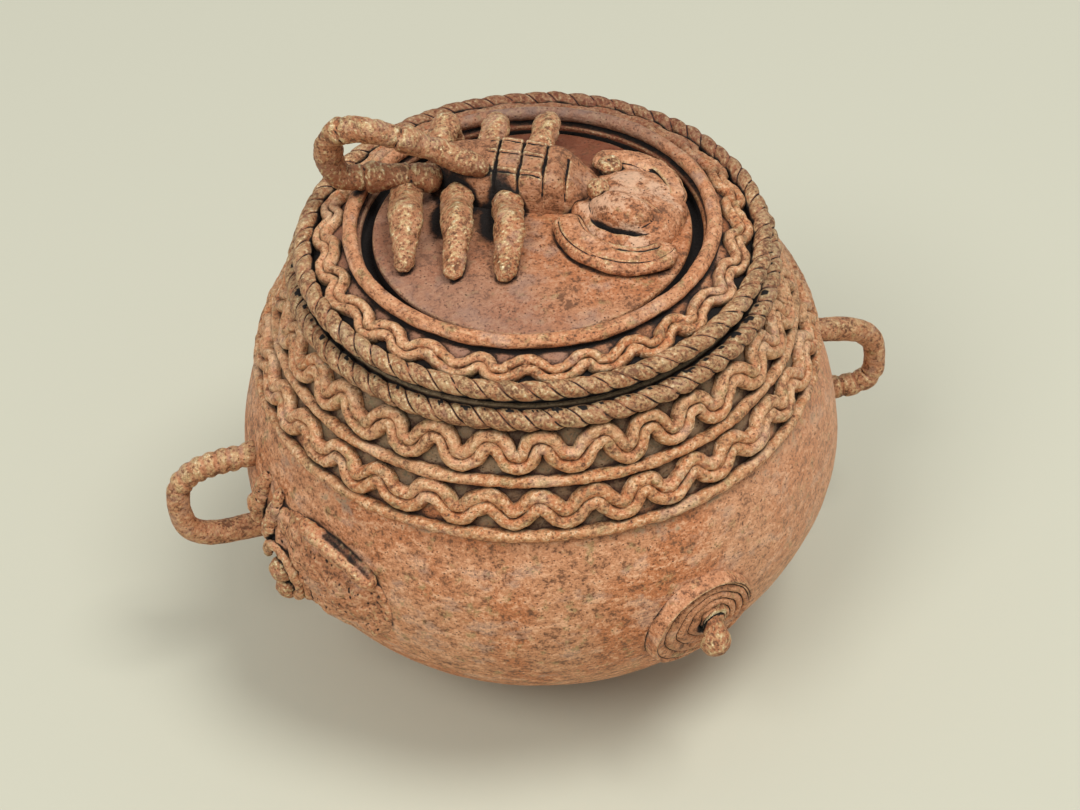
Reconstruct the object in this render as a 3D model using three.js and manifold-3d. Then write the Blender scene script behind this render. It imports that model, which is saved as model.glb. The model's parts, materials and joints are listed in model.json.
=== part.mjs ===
// A small round-bellied cast box with a lift-off lid. The lid's handle is a scorpion's curled tail.
// Millimetres, +Z up, the origin is the centre of the flat base and the two loop handles lie along X.
import * as THREE from 'three';
import { ParametricGeometry } from 'three/addons/geometries/ParametricGeometry.js';
import { mergeVertices } from 'three/addons/utils/BufferGeometryUtils.js';
import Module from 'manifold-3d';

const wasm = await Module();
wasm.setup();

// Pot body: half a superellipse below the equator, half an ellipse above it, then a straight shoulder
const bellyRadius = 65;
const equatorHeight = 47;
const lowerDepth = 54.7;
const lowerFullness = 1.7;
const upperDepth = 57;
const shoulderFootHeight = 70.9;
const rimSeatHeight = 91.7;
const potWall = 3.2;

// Mouth: a lip that the lid lands on, with a ledge outside it for the rim rope
const mouthRadius = 43.6;
const lipWidth = 3;
const lipRise = 3.7;
const rimLedge = 2;

// Laid-on ropes, threads and waves
const seatGap = 0.3;
const rimRopeDiameter = 4.4;
const lidRopeDiameter = 4;
const rimRopeMarks = 66;
const lidRopeMarks = 63;
const ropeCorners = 4;
const threadWidth = 2.6;
const threadHeight = 1.6;
const strandShare = 0.138;
const strandHeight = 2.4;
const lidStrandShare = 0.3;
const lidStrandHeight = 2.2;
const strandGroove = 0.9;
const lowerBandShare = 0.475;
const lowerBandWaves = 33;
const upperBandWaves = 30;
const lidBandWaves = 26;

// Lid plate: a flange on the lip, a collar in the mouth, a sloping crown, a moat and a domed medallion
const flangeThickness = 1.8;
const flangeClearance = 0.6;
const lidRopeOverhang = 0.9;
const collarClearance = 0.4;
const collarWall = 2.5;
const collarDepth = 5.7;
const crownStep = 1.1;
const crownRise = 3.2;
const crownWidth = 6;
const medallionRingDiameter = 3.4;
const medallionRingLedge = 0.2;
const moatWidth = 2.4;
const moatDepth = 3.3;
const medallionStep = 0.2;
const medallionRise = 2;
const lidWall = 2.3;

// Loop handles on the belly
const handleDiameter = 5.4;
const handleSquareness = 2.6;
const handleRoot = 8;
const leftHandleReach = 15.8;
const leftHandleHeight = 22;
const leftHandleDroop = 0;
const rightHandleReach = 14.2;
const rightHandleHeight = 18.6;
const rightHandleDroop = 3;

// Coiled boss on the front of the belly
const bossAzimuth = -76.5;
const bossHeight = 43;
const bossRadius = 13;
const bossRings = 4;
const bossRimWidth = 3;
const bossRise = 3.2;
const bossGroove = 0.8;
const nubBallDiameter = 6.6;
const nubStemDiameter = 5.2;
const nubReach = 5.4;

// Figure in relief on the front left of the belly
const reliefFromHandle = 27.5;
const reliefHeight = 48;
const reliefLength = 44;
const reliefWidth = 28;
const reliefRise = 2.2;
const ridgeThickness = 4.2;
const ridgeRise = 2.6;
const coilRadius = 6;
const coilThickness = 2;
const reliefNubDiameter = 5;
const prongThickness = 5;
const prongRise = 1.3;
const prongLength = 15;
const prongFoot = 47;
const shortProngInset = 6;
const prongPitch = 6.8;
const prongLean = 3;

// Scorpion on the medallion, in its own frame: +X runs to its head
const scorpionHeading = -30;
const spineOffset = 9;
const backHeight = 8.6;
const backWidth = 18;
const backRear = -24;
const backFront = 8.5;
const plateCuts = 4;
const plateCutStart = -9.2;
const plateCutPitch = 5;
const plateCutWidth = 0.8;
const plateCutDepth = 1.2;
const legDiameter = 5.6;
const legPitch = 10.5;
const firstLegInset = 0.4;
const kneeHeight = 10;
const nearKneeReach = 17.6;
const nearFootBeyond = 11.8;
const nearFootShift = 2;
const nearLegTaper = 1.6;
const farKneeReach = 13.4;
const farLegGrowth = 2.6;
const farFootBeyond = 4.5;
const farFootShift = -1;
const footDiameter = 3.4;
const tailDiameter = 6;
const tailTipDiameter = 4.4;
const tailLoopReach = 45.3;
const tailLoopHeight = 14.5;
const headLength = 24;
const headWidth = 27;
const headHeight = 5.4;
const headOffset = 8;
const headMargin = 0.47;
const snoutLength = 13.4;
const snoutWidth = 7.6;
const snoutHeight = 6.4;
const snoutShift = 4.8;
const snoutTurn = -15;
const eyeDiameter = 4.8;
const eyeShift = 4.6;
const eyeSpacing = 11.4;
const eyeSet = 6.2;
const clawDiameter = 5.2;
const clawTipDiameter = 2.6;
const clawShift = 1.9;
const clawSpread = 16.9;
const slitWidth = 1;
const slitLength = 7;
const slitInset = 2;

// Fineness of the facets
const segmentsPerTurn = 40;
const stepsPerWave = 5;
const stepsPerMark = 2;

// Places that the sizes above give
const lipHeight = rimSeatHeight + lipRise;
const lipRadius = mouthRadius + lipWidth;
const rimSeatRadius = lipRadius + rimLedge;
const rimRopeRadius = lipRadius + seatGap + rimRopeDiameter / 2;
const rimRopeHeight = rimSeatHeight + seatGap + rimRopeDiameter / 2;
const flangeBottom = lipHeight + seatGap;
const flangeTop = flangeBottom + flangeThickness;
const flangeRadius = rimRopeRadius - rimRopeDiameter / 2 - flangeClearance;
const collarRadius = mouthRadius - collarClearance;
const lidRopeRadius = flangeRadius + lidRopeOverhang;
const lidRopeHeight = flangeTop + seatGap + lidRopeDiameter / 2;
const crownRadius = lidRopeRadius - lidRopeDiameter / 2 - seatGap;
const crownFoot = flangeTop + crownStep;
const ringSeatHeight = crownFoot + crownRise;
const ringSeatHalf = medallionRingDiameter / 2 + medallionRingLedge;
const crownTopRadius = crownRadius - crownWidth;
const medallionRingRadius = crownTopRadius - ringSeatHalf;
const ringHeight = ringSeatHeight + seatGap + medallionRingDiameter / 2;
const ringCrest = ringHeight + medallionRingDiameter / 2;
const moatOuter = medallionRingRadius - ringSeatHalf;
const medallionRadius = moatOuter - moatWidth;
const medallionEdge = ringSeatHeight + medallionStep;
const medallionTop = medallionEdge + medallionRise;

const degrees = THREE.MathUtils.degToRad;

function castMaterial(name, color, roughness, metalness) {
  return new THREE.MeshStandardMaterial({ name, color, roughness, metalness });
}

const copperPatina = castMaterial('copper_patina', 0xa8694a, 0.62, 0.55);
const wornBrass = castMaterial('worn_brass', 0xb08a58, 0.45, 0.75);
const darkPatina = castMaterial('dark_patina', 0x8a5a45, 0.68, 0.5);

// One closed skin: shared corners merged, triangles without area dropped, faces turned outwards
function closedSkin(geometry) {
  const bare = geometry.clone();
  bare.deleteAttribute('normal');
  bare.deleteAttribute('uv');
  const skin = mergeVertices(bare, 1e-4);
  const corner = (i) => new THREE.Vector3().fromBufferAttribute(skin.attributes.position, i);
  const faces = [];
  let volume = 0;
  for (let i = 0; i < skin.index.count; i += 3) {
    const face = [skin.index.getX(i), skin.index.getX(i + 1), skin.index.getX(i + 2)];
    if (new Set(face).size < 3) continue;
    volume += corner(face[0]).dot(corner(face[1]).cross(corner(face[2])));
    faces.push(face);
  }
  const outward = faces.map(([a, b, c]) => (volume < 0 ? [a, c, b] : [a, b, c]));
  skin.setIndex(outward.flat());
  return skin;
}

function solidOf(geometry) {
  const skin = closedSkin(geometry);
  return new wasm.Manifold(new wasm.Mesh({
    numProp: 3,
    vertProperties: new Float32Array(skin.attributes.position.array),
    triVerts: new Uint32Array(skin.index.array),
  }));
}

function geometryOf(solid) {
  const mesh = solid.getMesh();
  const geometry = new THREE.BufferGeometry();
  geometry.setAttribute('position', new THREE.BufferAttribute(new Float32Array(mesh.vertProperties), 3));
  geometry.setIndex(new THREE.BufferAttribute(new Uint32Array(mesh.triVerts), 1));
  return geometry;
}

function carved(geometry, ...cutters) {
  const rest = cutters.reduce((solid, cutter) => solid.subtract(solidOf(cutter)), solidOf(geometry));
  return geometryOf(rest);
}

function joined(...geometries) {
  return geometryOf(geometries.map(solidOf).reduce((whole, solid) => whole.add(solid)));
}

function piece(name, geometry, material) {
  const skin = closedSkin(geometry);
  skin.computeVertexNormals();
  const mesh = new THREE.Mesh(skin, material);
  mesh.name = name;
  return mesh;
}

function turned(outline, segments = segmentsPerTurn) {
  return new THREE.LatheGeometry(outline, segments).rotateX(Math.PI / 2);
}

const place = (radius, height) => new THREE.Vector2(radius, height);

function bellyOutside(height) {
  const rise = height - equatorHeight;
  if (rise < 0) {
    const share = Math.min(1, -rise / lowerDepth);
    return bellyRadius * Math.pow(1 - Math.pow(share, lowerFullness), 1 / lowerFullness);
  }
  return bellyRadius * Math.sqrt(1 - (rise / upperDepth) ** 2);
}

// The pot's outer line from the base to the rim seat, moved outwards by grow
function potOutline(grow) {
  const heights = [];
  const lowerStations = 6;
  for (let i = 0; i <= lowerStations; i++) {
    heights.push(equatorHeight * Math.sin((Math.PI / 2) * (i / lowerStations)));
  }
  const upperStations = 2;
  for (let i = 1; i <= upperStations; i++) {
    heights.push(equatorHeight + (shoulderFootHeight - equatorHeight) * (i / upperStations));
  }
  const line = heights.map((height) => place(bellyOutside(height), height));
  line.push(place(rimSeatRadius, rimSeatHeight));
  if (grow === 0) return line;
  return line.map((point, i) => {
    const before = line[Math.max(i - 1, 0)];
    const after = line[Math.min(i + 1, line.length - 1)];
    const along = after.clone().sub(before).normalize();
    return point.clone().add(place(along.y, -along.x).multiplyScalar(grow));
  });
}

// The whole belly as one solid, grown by the seat gap: what is laid on the belly is carved with it
function bellySeat() {
  const line = potOutline(seatGap);
  const top = line[line.length - 1];
  return turned([place(0, line[0].y), ...line, place(0, top.y)]);
}

function potShell() {
  const outside = potOutline(0);
  const inside = outside.slice(1, -1).map((point, i, all) => {
    const before = outside[i];
    const after = outside[i + 2];
    const along = after.clone().sub(before).normalize();
    return point.clone().sub(place(along.y, -along.x).multiplyScalar(potWall));
  });
  const floor = potWall * 1.2;
  const wallInside = inside.filter((point) => point.y > floor + 2);
  const lowest = wallInside[0];
  const floorEdge = place(lowest.x * 0.8, floor);
  const throat = place(mouthRadius, rimSeatHeight - potWall);
  const line = [
    place(0, 0),
    ...outside,
    place(lipRadius, rimSeatHeight),
    place(lipRadius, lipHeight),
    place(mouthRadius, lipHeight),
    throat,
    ...wallInside.reverse(),
    floorEdge,
    place(0, floor),
  ];
  return turned(line);
}

// A straight sloping band of a turned body, with places given along the slope and out from it
function slope(foot, top) {
  const along = top.clone().sub(foot);
  const length = along.length();
  along.normalize();
  const out = place(along.y, -along.x);
  const at = (distance, rise) => foot.clone().addScaledVector(along, distance).addScaledVector(out, rise);
  // How far along the slope, before or after a rope, a strand of this rise comes within the seat gap of it
  const besideRope = (centre, diameter, rise) => {
    const spot = centre.clone().sub(foot);
    const reach = diameter / 2 + seatGap;
    const half = Math.sqrt(Math.max(0, reach ** 2 - (rise - spot.dot(out)) ** 2));
    return { before: spot.dot(along) - half, after: spot.dot(along) + half };
  };
  return { length, at, besideRope };
}

const shoulder = slope(
  place(bellyOutside(shoulderFootHeight), shoulderFootHeight),
  place(rimSeatRadius, rimSeatHeight),
);
const crown = slope(place(crownRadius, crownFoot), place(crownTopRadius, ringSeatHeight));

// The shoulder's bands share the room between its foot and the rim rope
const strandCorner = 0.45;
const rimRopePlace = place(rimRopeRadius, rimRopeHeight);
const rimRope = shoulder.besideRope(rimRopePlace, rimRopeDiameter, seatGap + strandHeight);
const bandRoom = Math.min(shoulder.length, rimRope.before) - 2 * threadWidth - 4 * seatGap;
const strandWidth = bandRoom * strandShare;
const lowerBandStart = threadWidth + seatGap;
const lowerBandWidth = bandRoom * lowerBandShare;
const middleThreadStart = lowerBandStart + lowerBandWidth + seatGap;
const upperBandStart = middleThreadStart + threadWidth + seatGap;
const upperBandWidth = bandRoom - lowerBandWidth;

// The crown's band fills it from the lid rope to the ring
const lidRopePlace = place(lidRopeRadius, lidRopeHeight);
const lidRope = crown.besideRope(lidRopePlace, lidRopeDiameter, seatGap + lidStrandHeight);
const lidStrandWidth = (crown.length - seatGap) * lidStrandShare;
const lidBandStart = Math.max(seatGap, lidRope.after - lidStrandWidth * strandCorner);
const lidBandWidth = crown.length - seatGap - lidBandStart;

// A laid thread: flat below, rounded above
function threadRing(band, start) {
  const chamfer = threadWidth / 4;
  const section = [
    band.at(start, seatGap),
    band.at(start + chamfer, seatGap + threadHeight),
    band.at(start + threadWidth - chamfer, seatGap + threadHeight),
    band.at(start + threadWidth, seatGap),
  ];
  return turned([...section, section[0].clone()]);
}

// Two strands side by side, laid in waves round a sloping band
function waveBand(band, start, width, waves, strand, rise) {
  const pair = 2 * strand;
  const swing = (width - pair) / 2;
  const across = [-1, strandCorner - 1, 0, 1 - strandCorner, 1];
  const heights = [0, rise, rise - strandGroove, rise, 0];
  const corners = across.length;
  return new ParametricGeometry((u, v, target) => {
    const corner = Math.round(v * corners) % corners;
    const angle = 2 * Math.PI * u;
    const centre = start + width / 2 + swing * Math.sin(waves * angle);
    const point = band.at(centre + (across[corner] * pair) / 2, seatGap + heights[corner]);
    target.set(point.x * Math.cos(angle), point.x * Math.sin(angle), point.y);
  }, waves * stepsPerWave, corners);
}

// A rope ring: a cornered section that turns as it runs round, one mark for each corner that comes up
function ropeRing(radius, height, diameter, marks) {
  return new ParametricGeometry((u, v, target) => {
    const turn = 2 * Math.PI * (v - (marks * u) / ropeCorners);
    const ring = radius + (diameter / 2) * Math.cos(turn);
    const angle = 2 * Math.PI * u;
    target.set(ring * Math.cos(angle), ring * Math.sin(angle), height + (diameter / 2) * Math.sin(turn));
  }, marks * stepsPerMark, ropeCorners);
}

// A round rod along a curve, whose thickness may change on the way
function rod(points, diameterAt, steps, sides) {
  const curve = new THREE.CatmullRomCurve3(points);
  const frames = curve.computeFrenetFrames(steps, false);
  const rings = steps + 2;
  return new ParametricGeometry((u, v, target) => {
    const ring = Math.round(u * rings) - 1;
    const step = THREE.MathUtils.clamp(ring, 0, steps);
    const capped = ring < 0 || ring > steps;
    const radius = capped ? 0 : diameterAt(step / steps) / 2;
    const turn = (2 * Math.PI * Math.round(v * sides)) / sides;
    target.copy(curve.getPointAt(step / steps));
    target.addScaledVector(frames.normals[step], radius * Math.cos(turn));
    target.addScaledVector(frames.binormals[step], radius * Math.sin(turn));
  }, rings, sides);
}

function lidPlate() {
  const domeStations = 3;
  const dome = [];
  for (let i = 0; i <= domeStations; i++) {
    const radius = medallionRadius * (i / domeStations);
    dome.push(place(radius, medallionHeight(radius)));
  }
  const collarInner = collarRadius - collarWall;
  const moatFloor = ringSeatHeight - moatDepth;
  return turned([
    ...dome,
    place(medallionRadius, moatFloor),
    place(moatOuter, moatFloor),
    place(moatOuter, ringSeatHeight),
    place(crownTopRadius, ringSeatHeight),
    place(crownRadius, crownFoot),
    place(crownRadius, flangeTop),
    place(flangeRadius, flangeTop),
    place(flangeRadius, flangeBottom),
    place(collarRadius, flangeBottom),
    place(collarRadius, flangeBottom - collarDepth),
    place(collarInner, flangeBottom - collarDepth),
    place(collarInner, moatFloor - lidWall - 0.4),
    place(medallionRadius, moatFloor - lidWall),
    place(medallionRadius * 0.5, medallionTop - lidWall * 1.8),
    place(0, medallionTop - lidWall * 1.6),
  ]);
}

function medallionHeight(radius) {
  return medallionEdge + medallionRise * (1 - (radius / medallionRadius) ** 2);
}

// The medallion's face, grown by the seat gap, and all below it
function medallionSeat() {
  const stations = 3;
  const face = [];
  for (let i = 0; i <= stations; i++) {
    const radius = medallionRadius * (i / stations);
    face.push(place(radius, medallionHeight(radius) + seatGap));
  }
  const below = flangeBottom - collarDepth;
  return turned([place(0, below), place(lidRopeRadius, below),
    place(lidRopeRadius, medallionEdge + seatGap), ...face.reverse()]);
}

function loopHandle(side, reach, height, droop) {
  const root = bellyOutside(equatorHeight);
  const squared = (share) => Math.sign(share) * Math.pow(Math.abs(share), 2 / handleSquareness);
  const points = [new THREE.Vector3(side * (root - handleRoot), 0, equatorHeight + height / 2)];
  const stations = 10;
  for (let i = 0; i <= stations; i++) {
    const angle = Math.PI / 2 - Math.PI * (i / stations);
    const out = reach * squared(Math.cos(angle));
    const up = (height / 2) * squared(Math.sin(angle));
    points.push(new THREE.Vector3(side * (root + out), 0, equatorHeight + up - (droop * out) / reach));
  }
  points.push(new THREE.Vector3(side * (root - handleRoot), 0, equatorHeight - height / 2));
  const loop = rod(points, () => handleDiameter, 18, 8);
  return carved(loop, bellySeat());
}

// A frame on the belly's surface: x runs round it, y up it and z out of it
function onBelly(azimuth, height) {
  const angle = degrees(azimuth);
  const step = 0.5;
  const rise = place(bellyOutside(height + step) - bellyOutside(height - step), 2 * step).normalize();
  const around = new THREE.Vector3(-Math.sin(angle), Math.cos(angle), 0);
  const up = new THREE.Vector3(rise.x * Math.cos(angle), rise.x * Math.sin(angle), rise.y);
  const out = around.clone().cross(up);
  const radius = bellyOutside(height);
  const frame = new THREE.Matrix4().makeBasis(around, up, out);
  frame.setPosition(radius * Math.cos(angle), radius * Math.sin(angle), height);
  return frame;
}

function bossCoil() {
  const pitch = (bossRadius - bossRimWidth - nubStemDiameter / 2 - seatGap) / bossRings;
  const bore = nubStemDiameter / 2 + seatGap;
  const line = [place(bore, -4)];
  line.push(place(bore, bossRise));
  for (let i = 0; i < bossRings; i++) {
    line.push(place(bore + pitch * (i + 0.5), bossRise + bossGroove * 0.3));
    line.push(place(bore + pitch * (i + 1), bossRise - bossGroove));
  }
  line.push(place(bossRadius - bossRimWidth * 0.5, bossRise + bossGroove * 0.4));
  line.push(place(bossRadius, bossRise * 0.3));
  line.push(place(bossRadius, -4));
  line.push(line[0].clone());
  const disc = turned(line, 20).applyMatrix4(onBelly(bossAzimuth, bossHeight));
  return carved(disc, bellySeat());
}

function bossNub() {
  const stem = nubStemDiameter / 2;
  const ball = nubBallDiameter / 2;
  const arc = [];
  const stations = 5;
  const neck = Math.asin(Math.min(0.98, (stem * 0.9) / ball));
  for (let i = 0; i <= stations; i++) {
    const angle = Math.PI - neck - (Math.PI - neck) * (i / stations);
    arc.push(place(ball * Math.sin(angle), nubReach + ball * Math.cos(angle)));
  }
  arc[stations].x = 0;
  const line = [place(0, -4), place(stem, -4), place(stem, nubReach - ball), ...arc];
  const nub = turned(line, 10).applyMatrix4(onBelly(bossAzimuth, bossHeight));
  return carved(nub, bellySeat());
}

// The figure's pieces share one frame on the belly, with x along the figure
const leftHandleAzimuth = -180;
const reliefAzimuth = leftHandleAzimuth + reliefFromHandle;
const reliefFrame = onBelly(reliefAzimuth, reliefHeight);

function bulge(x, y, length, width, rise) {
  const depth = 5;
  const lens = new THREE.SphereGeometry(1, 14, 8);
  lens.rotateX(Math.PI / 2);
  lens.scale(length / 2, width / 2, rise + depth);
  lens.translate(x, y, -depth);
  return lens.applyMatrix4(reliefFrame);
}

function onRelief(x, y, rise) {
  const probe = new THREE.Vector3(x, y, 0).applyMatrix4(reliefFrame);
  const reach = Math.hypot(probe.x, probe.y);
  const surface = bellyOutside(probe.z);
  return new THREE.Vector3(probe.x, probe.y, 0).multiplyScalar((surface + rise) / reach).setZ(probe.z);
}

function reliefRidge(extra = 0) {
  const half = reliefWidth / 2;
  const points = [-0.1, 0.05, 0.18, 0.3, 0.4].map((share) => {
    const x = share * reliefLength;
    return onRelief(x, half * Math.sqrt(1 - (2 * share) ** 2) * 0.9, ridgeRise - ridgeThickness / 2);
  });
  return rod(points, (share) => extra + ridgeThickness * (0.65 + 0.35 * Math.sin(Math.PI * share)), 8, 6);
}

function reliefCoil(extra = 0) {
  const points = [];
  const stations = 9;
  for (let i = 0; i <= stations; i++) {
    const angle = degrees(-70 + 250 * (i / stations));
    const x = -reliefLength * 0.2 + coilRadius * Math.cos(angle);
    const y = -reliefWidth * 0.12 + coilRadius * Math.sin(angle);
    points.push(onRelief(x, y, reliefRise + coilThickness * 0.3));
  }
  return rod(points, () => coilThickness + extra, 12, 5);
}

function reliefNub(x, y, extra = 0) {
  const ball = new THREE.SphereGeometry((reliefNubDiameter + extra) / 2, 8, 5);
  const centre = onRelief(x, y, reliefRise + reliefNubDiameter * 0.2);
  return ball.translate(centre.x, centre.y, centre.z);
}

const upperNubPlace = [-reliefLength * 0.2, -reliefWidth * 0.06];
const lowerNubPlace = [-reliefLength * 0.2, -reliefWidth * 0.06 - reliefNubDiameter - 2 * seatGap];

function reliefPlaque() {
  const grow = 2 * seatGap;
  const body = bulge(0, 0, reliefLength, reliefWidth, reliefRise);
  return carved(body, bellySeat(), reliefRidge(grow), reliefCoil(grow), reliefNub(...upperNubPlace, grow),
    reliefNub(...lowerNubPlace, grow), prongForm(shortProngDistance, grow),
    prongForm(longProngDistance, grow));
}

// The short prong stands in from the figure's end, and the long one a pitch further out
const shortProngDistance = reliefLength / 2 - shortProngInset;
const longProngDistance = shortProngDistance + prongPitch;

// A prong stands at a distance round the belly from the middle of the figure
function prongForm(distance, extra = 0) {
  const azimuth = reliefAzimuth - THREE.MathUtils.radToDeg(distance / bellyRadius);
  const points = [0, 0.35, 0.7, 1].map((share) => {
    const level = prongFoot + prongLength * share;
    const radius = bellyOutside(level) + prongRise * (1 - 0.4 * share);
    const angle = degrees(azimuth + prongLean * share);
    return new THREE.Vector3(radius * Math.cos(angle), radius * Math.sin(angle), level);
  });
  return rod(points, (share) => extra + prongThickness * (1 - 0.55 * share ** 2), 6, 6);
}

function prong(distance) {
  return carved(prongForm(distance), bellySeat());
}

// The scorpion's back: an arched loft with straight cuts across it
function scorpionBack(grow = 0) {
  const floor = medallionEdge - 2;
  const stations = 8;
  const corners = 10;
  const rings = stations + 2;
  return new ParametricGeometry((u, v, target) => {
    const ring = THREE.MathUtils.clamp(Math.round(u * rings) - 1, 0, stations);
    const capped = Math.round(u * rings) !== ring + 1;
    const share = ring / stations;
    const fullness = Math.sin(Math.PI * (0.16 + 0.6 * share));
    const half = (backWidth / 2) * fullness + grow;
    const top = medallionEdge + backHeight * (0.6 + 0.4 * fullness) + grow;
    const corner = Math.round(v * corners) % corners;
    const turn = Math.PI * (corner / (corners - 1));
    const x = THREE.MathUtils.lerp(backRear - grow, backFront + grow, share);
    const reach = capped ? 0 : 1;
    const y = half * Math.sign(Math.cos(turn)) * Math.pow(Math.abs(Math.cos(turn)), 0.45);
    const z = (top - floor) * Math.pow(Math.sin(turn), 0.5);
    target.set(x, spineOffset + reach * y, floor + reach * z);
  }, rings, corners);
}

// The scorpion fills the medallion: its plan is drawn so large that the head comes this near the edge
const headPlace = backFront + headLength * 0.42;
const drawnField = Math.hypot(headPlace, headOffset) + headLength / 2 + headMargin;
const fieldScale = medallionRadius / drawnField;
const scorpionPose = new THREE.Matrix4().makeRotationZ(degrees(scorpionHeading));
scorpionPose.scale(new THREE.Vector3(fieldScale, fieldScale, 1));

function posed(geometry) {
  return geometry.applyMatrix4(scorpionPose);
}

function scorpionBody() {
  const cuts = [];
  const cutterHeight = 2 * plateCutDepth + 4;
  const cutterPlace = medallionEdge + backHeight + cutterHeight / 2 - plateCutDepth * 1.4;
  for (let i = 0; i < plateCuts; i++) {
    const cut = new THREE.BoxGeometry(plateCutWidth, backWidth + 4, cutterHeight);
    cut.translate(plateCutStart + i * plateCutPitch, spineOffset, cutterPlace);
    cuts.push(posed(cut));
  }
  return carved(posed(scorpionBack()), medallionSeat(), ...cuts);
}

function backSeat() {
  return posed(scorpionBack(seatGap));
}

// The near rear leg grows from the tail's root and the others from the back
function legRoot(side, row, x) {
  if (side < 0 && row === 0) {
    const [tailRoot, tailBend] = tailPath();
    return tailRoot.lerp(tailBend, 0.5);
  }
  const inward = row === 0 ? 0.6 : -0.4;
  const height = medallionEdge + backHeight * 0.4;
  return new THREE.Vector3(x + legDiameter * inward, spineOffset + side * 3, height);
}

// The near legs get shorter towards the head and the far ones longer
function scorpionLeg(side, row) {
  const x = backRear + firstLegInset + legPitch * row;
  const y = (out) => spineOffset + side * out;
  const knee = side < 0 ? nearKneeReach - nearLegTaper * row : farKneeReach + farLegGrowth * row;
  const foot = side < 0
    ? onMedallion(x + nearFootShift, y(knee + nearFootBeyond), footDiameter)
    : onMedallion(x + farFootShift, y(knee + farFootBeyond), footDiameter);
  const bend = new THREE.Vector3(x, y(knee), medallionEdge + kneeHeight - legDiameter / 2);
  const points = [
    legRoot(side, row, x),
    new THREE.Vector3(x - 0.4, y(backWidth / 2 + 0.6), bend.z - 1),
    bend,
    bend.clone().lerp(foot, 0.5).setZ(THREE.MathUtils.lerp(bend.z, foot.z, 0.4)),
    foot,
  ];
  const thickness = (share) => THREE.MathUtils.lerp(legDiameter, footDiameter, share ** 3);
  return carved(posed(rod(points, thickness, 9, 7)), medallionSeat(), backSeat(), tailForm(seatGap));
}

// A place on the medallion's face for a rod of this thickness, kept inside the moat
function onMedallion(x, y, thickness) {
  const spot = place(x, y);
  const limit = drawnField - thickness / 2 - seatGap;
  if (spot.length() > limit) spot.setLength(limit);
  return new THREE.Vector3(spot.x, spot.y, medallionHeight(spot.length() * fieldScale) + thickness * 0.4);
}

function tailPath() {
  const low = ringCrest + seatGap + tailDiameter / 2;
  const top = low + tailLoopHeight;
  const back = medallionEdge + backHeight;
  const reach = tailLoopReach;
  return [
    new THREE.Vector3(backRear + 4, spineOffset - 3.4, low - 1.2),
    new THREE.Vector3(backRear - 2, 4.2, low - 0.4),
    new THREE.Vector3(-0.75 * reach, 2.2, low),
    new THREE.Vector3(-0.89 * reach, 0.4, low + 0.8),
    new THREE.Vector3(-reach + tailDiameter / 2, 0, low + 0.45 * tailLoopHeight),
    new THREE.Vector3(-0.89 * reach, -0.6, top - 2),
    new THREE.Vector3(-0.76 * reach, -0.4, top - 0.4),
    new THREE.Vector3(-0.6 * reach, 2, top - 3.4),
    new THREE.Vector3(-0.45 * reach, 4.6, low + 0.48 * tailLoopHeight),
    new THREE.Vector3(-0.34 * reach, 5.2, back + tailTipDiameter * 0.6),
    new THREE.Vector3(-0.24 * reach, 5, back + tailTipDiameter * 0.3),
  ];
}

function tailForm(grow = 0) {
  const thickness = (share) => THREE.MathUtils.lerp(tailDiameter, tailTipDiameter, share) + 2 * grow;
  return posed(rod(tailPath(), thickness, 24, 8));
}

function scorpionTail() {
  return carved(tailForm(), medallionSeat(), backSeat());
}

// The head's mound is flat on top: its height, as a share, at a share of the way out to its edge
function moundShare(share) {
  return Math.sqrt(Math.max(0, 1 - share ** 3));
}

function headForm(grow = 0) {
  const line = [0, 0.45, 0.72, 0.9, 1].map((share) => place(share, moundShare(share)));
  const mound = turned([...line, place(1, -0.4), place(0, -0.4)], 16);
  mound.scale(headLength / 2 + grow, headWidth / 2 + grow, headHeight + grow);
  mound.translate(headPlace, headOffset, medallionEdge);
  const snout = new THREE.SphereGeometry(1, 10, 6).rotateX(Math.PI / 2);
  snout.scale(snoutLength / 2 + grow, snoutWidth / 2 + grow, snoutHeight / 2 + grow);
  snout.rotateZ(degrees(snoutTurn));
  snout.translate(headPlace, headOffset - snoutShift, medallionEdge + headHeight - snoutHeight * 0.15);
  return posed(joined(mound, snout));
}

function scorpionHead() {
  return carved(headForm(), medallionSeat(), backSeat());
}

function eyeForm(side, grow = 0) {
  const eye = new THREE.SphereGeometry(eyeDiameter / 2 + grow, 8, 6).rotateX(Math.PI / 2);
  const aside = eyeShift + (side * eyeSpacing) / 2;
  const share = Math.hypot((2 * eyeSet) / headLength, (2 * aside) / headWidth);
  const surface = medallionEdge + headHeight * moundShare(share);
  eye.translate(headPlace - eyeSet, headOffset + aside, surface + eyeDiameter * 0.28);
  return posed(eye);
}

function scorpionEye(side) {
  return carved(eyeForm(side), medallionSeat(), headForm(seatGap), backSeat());
}

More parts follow.
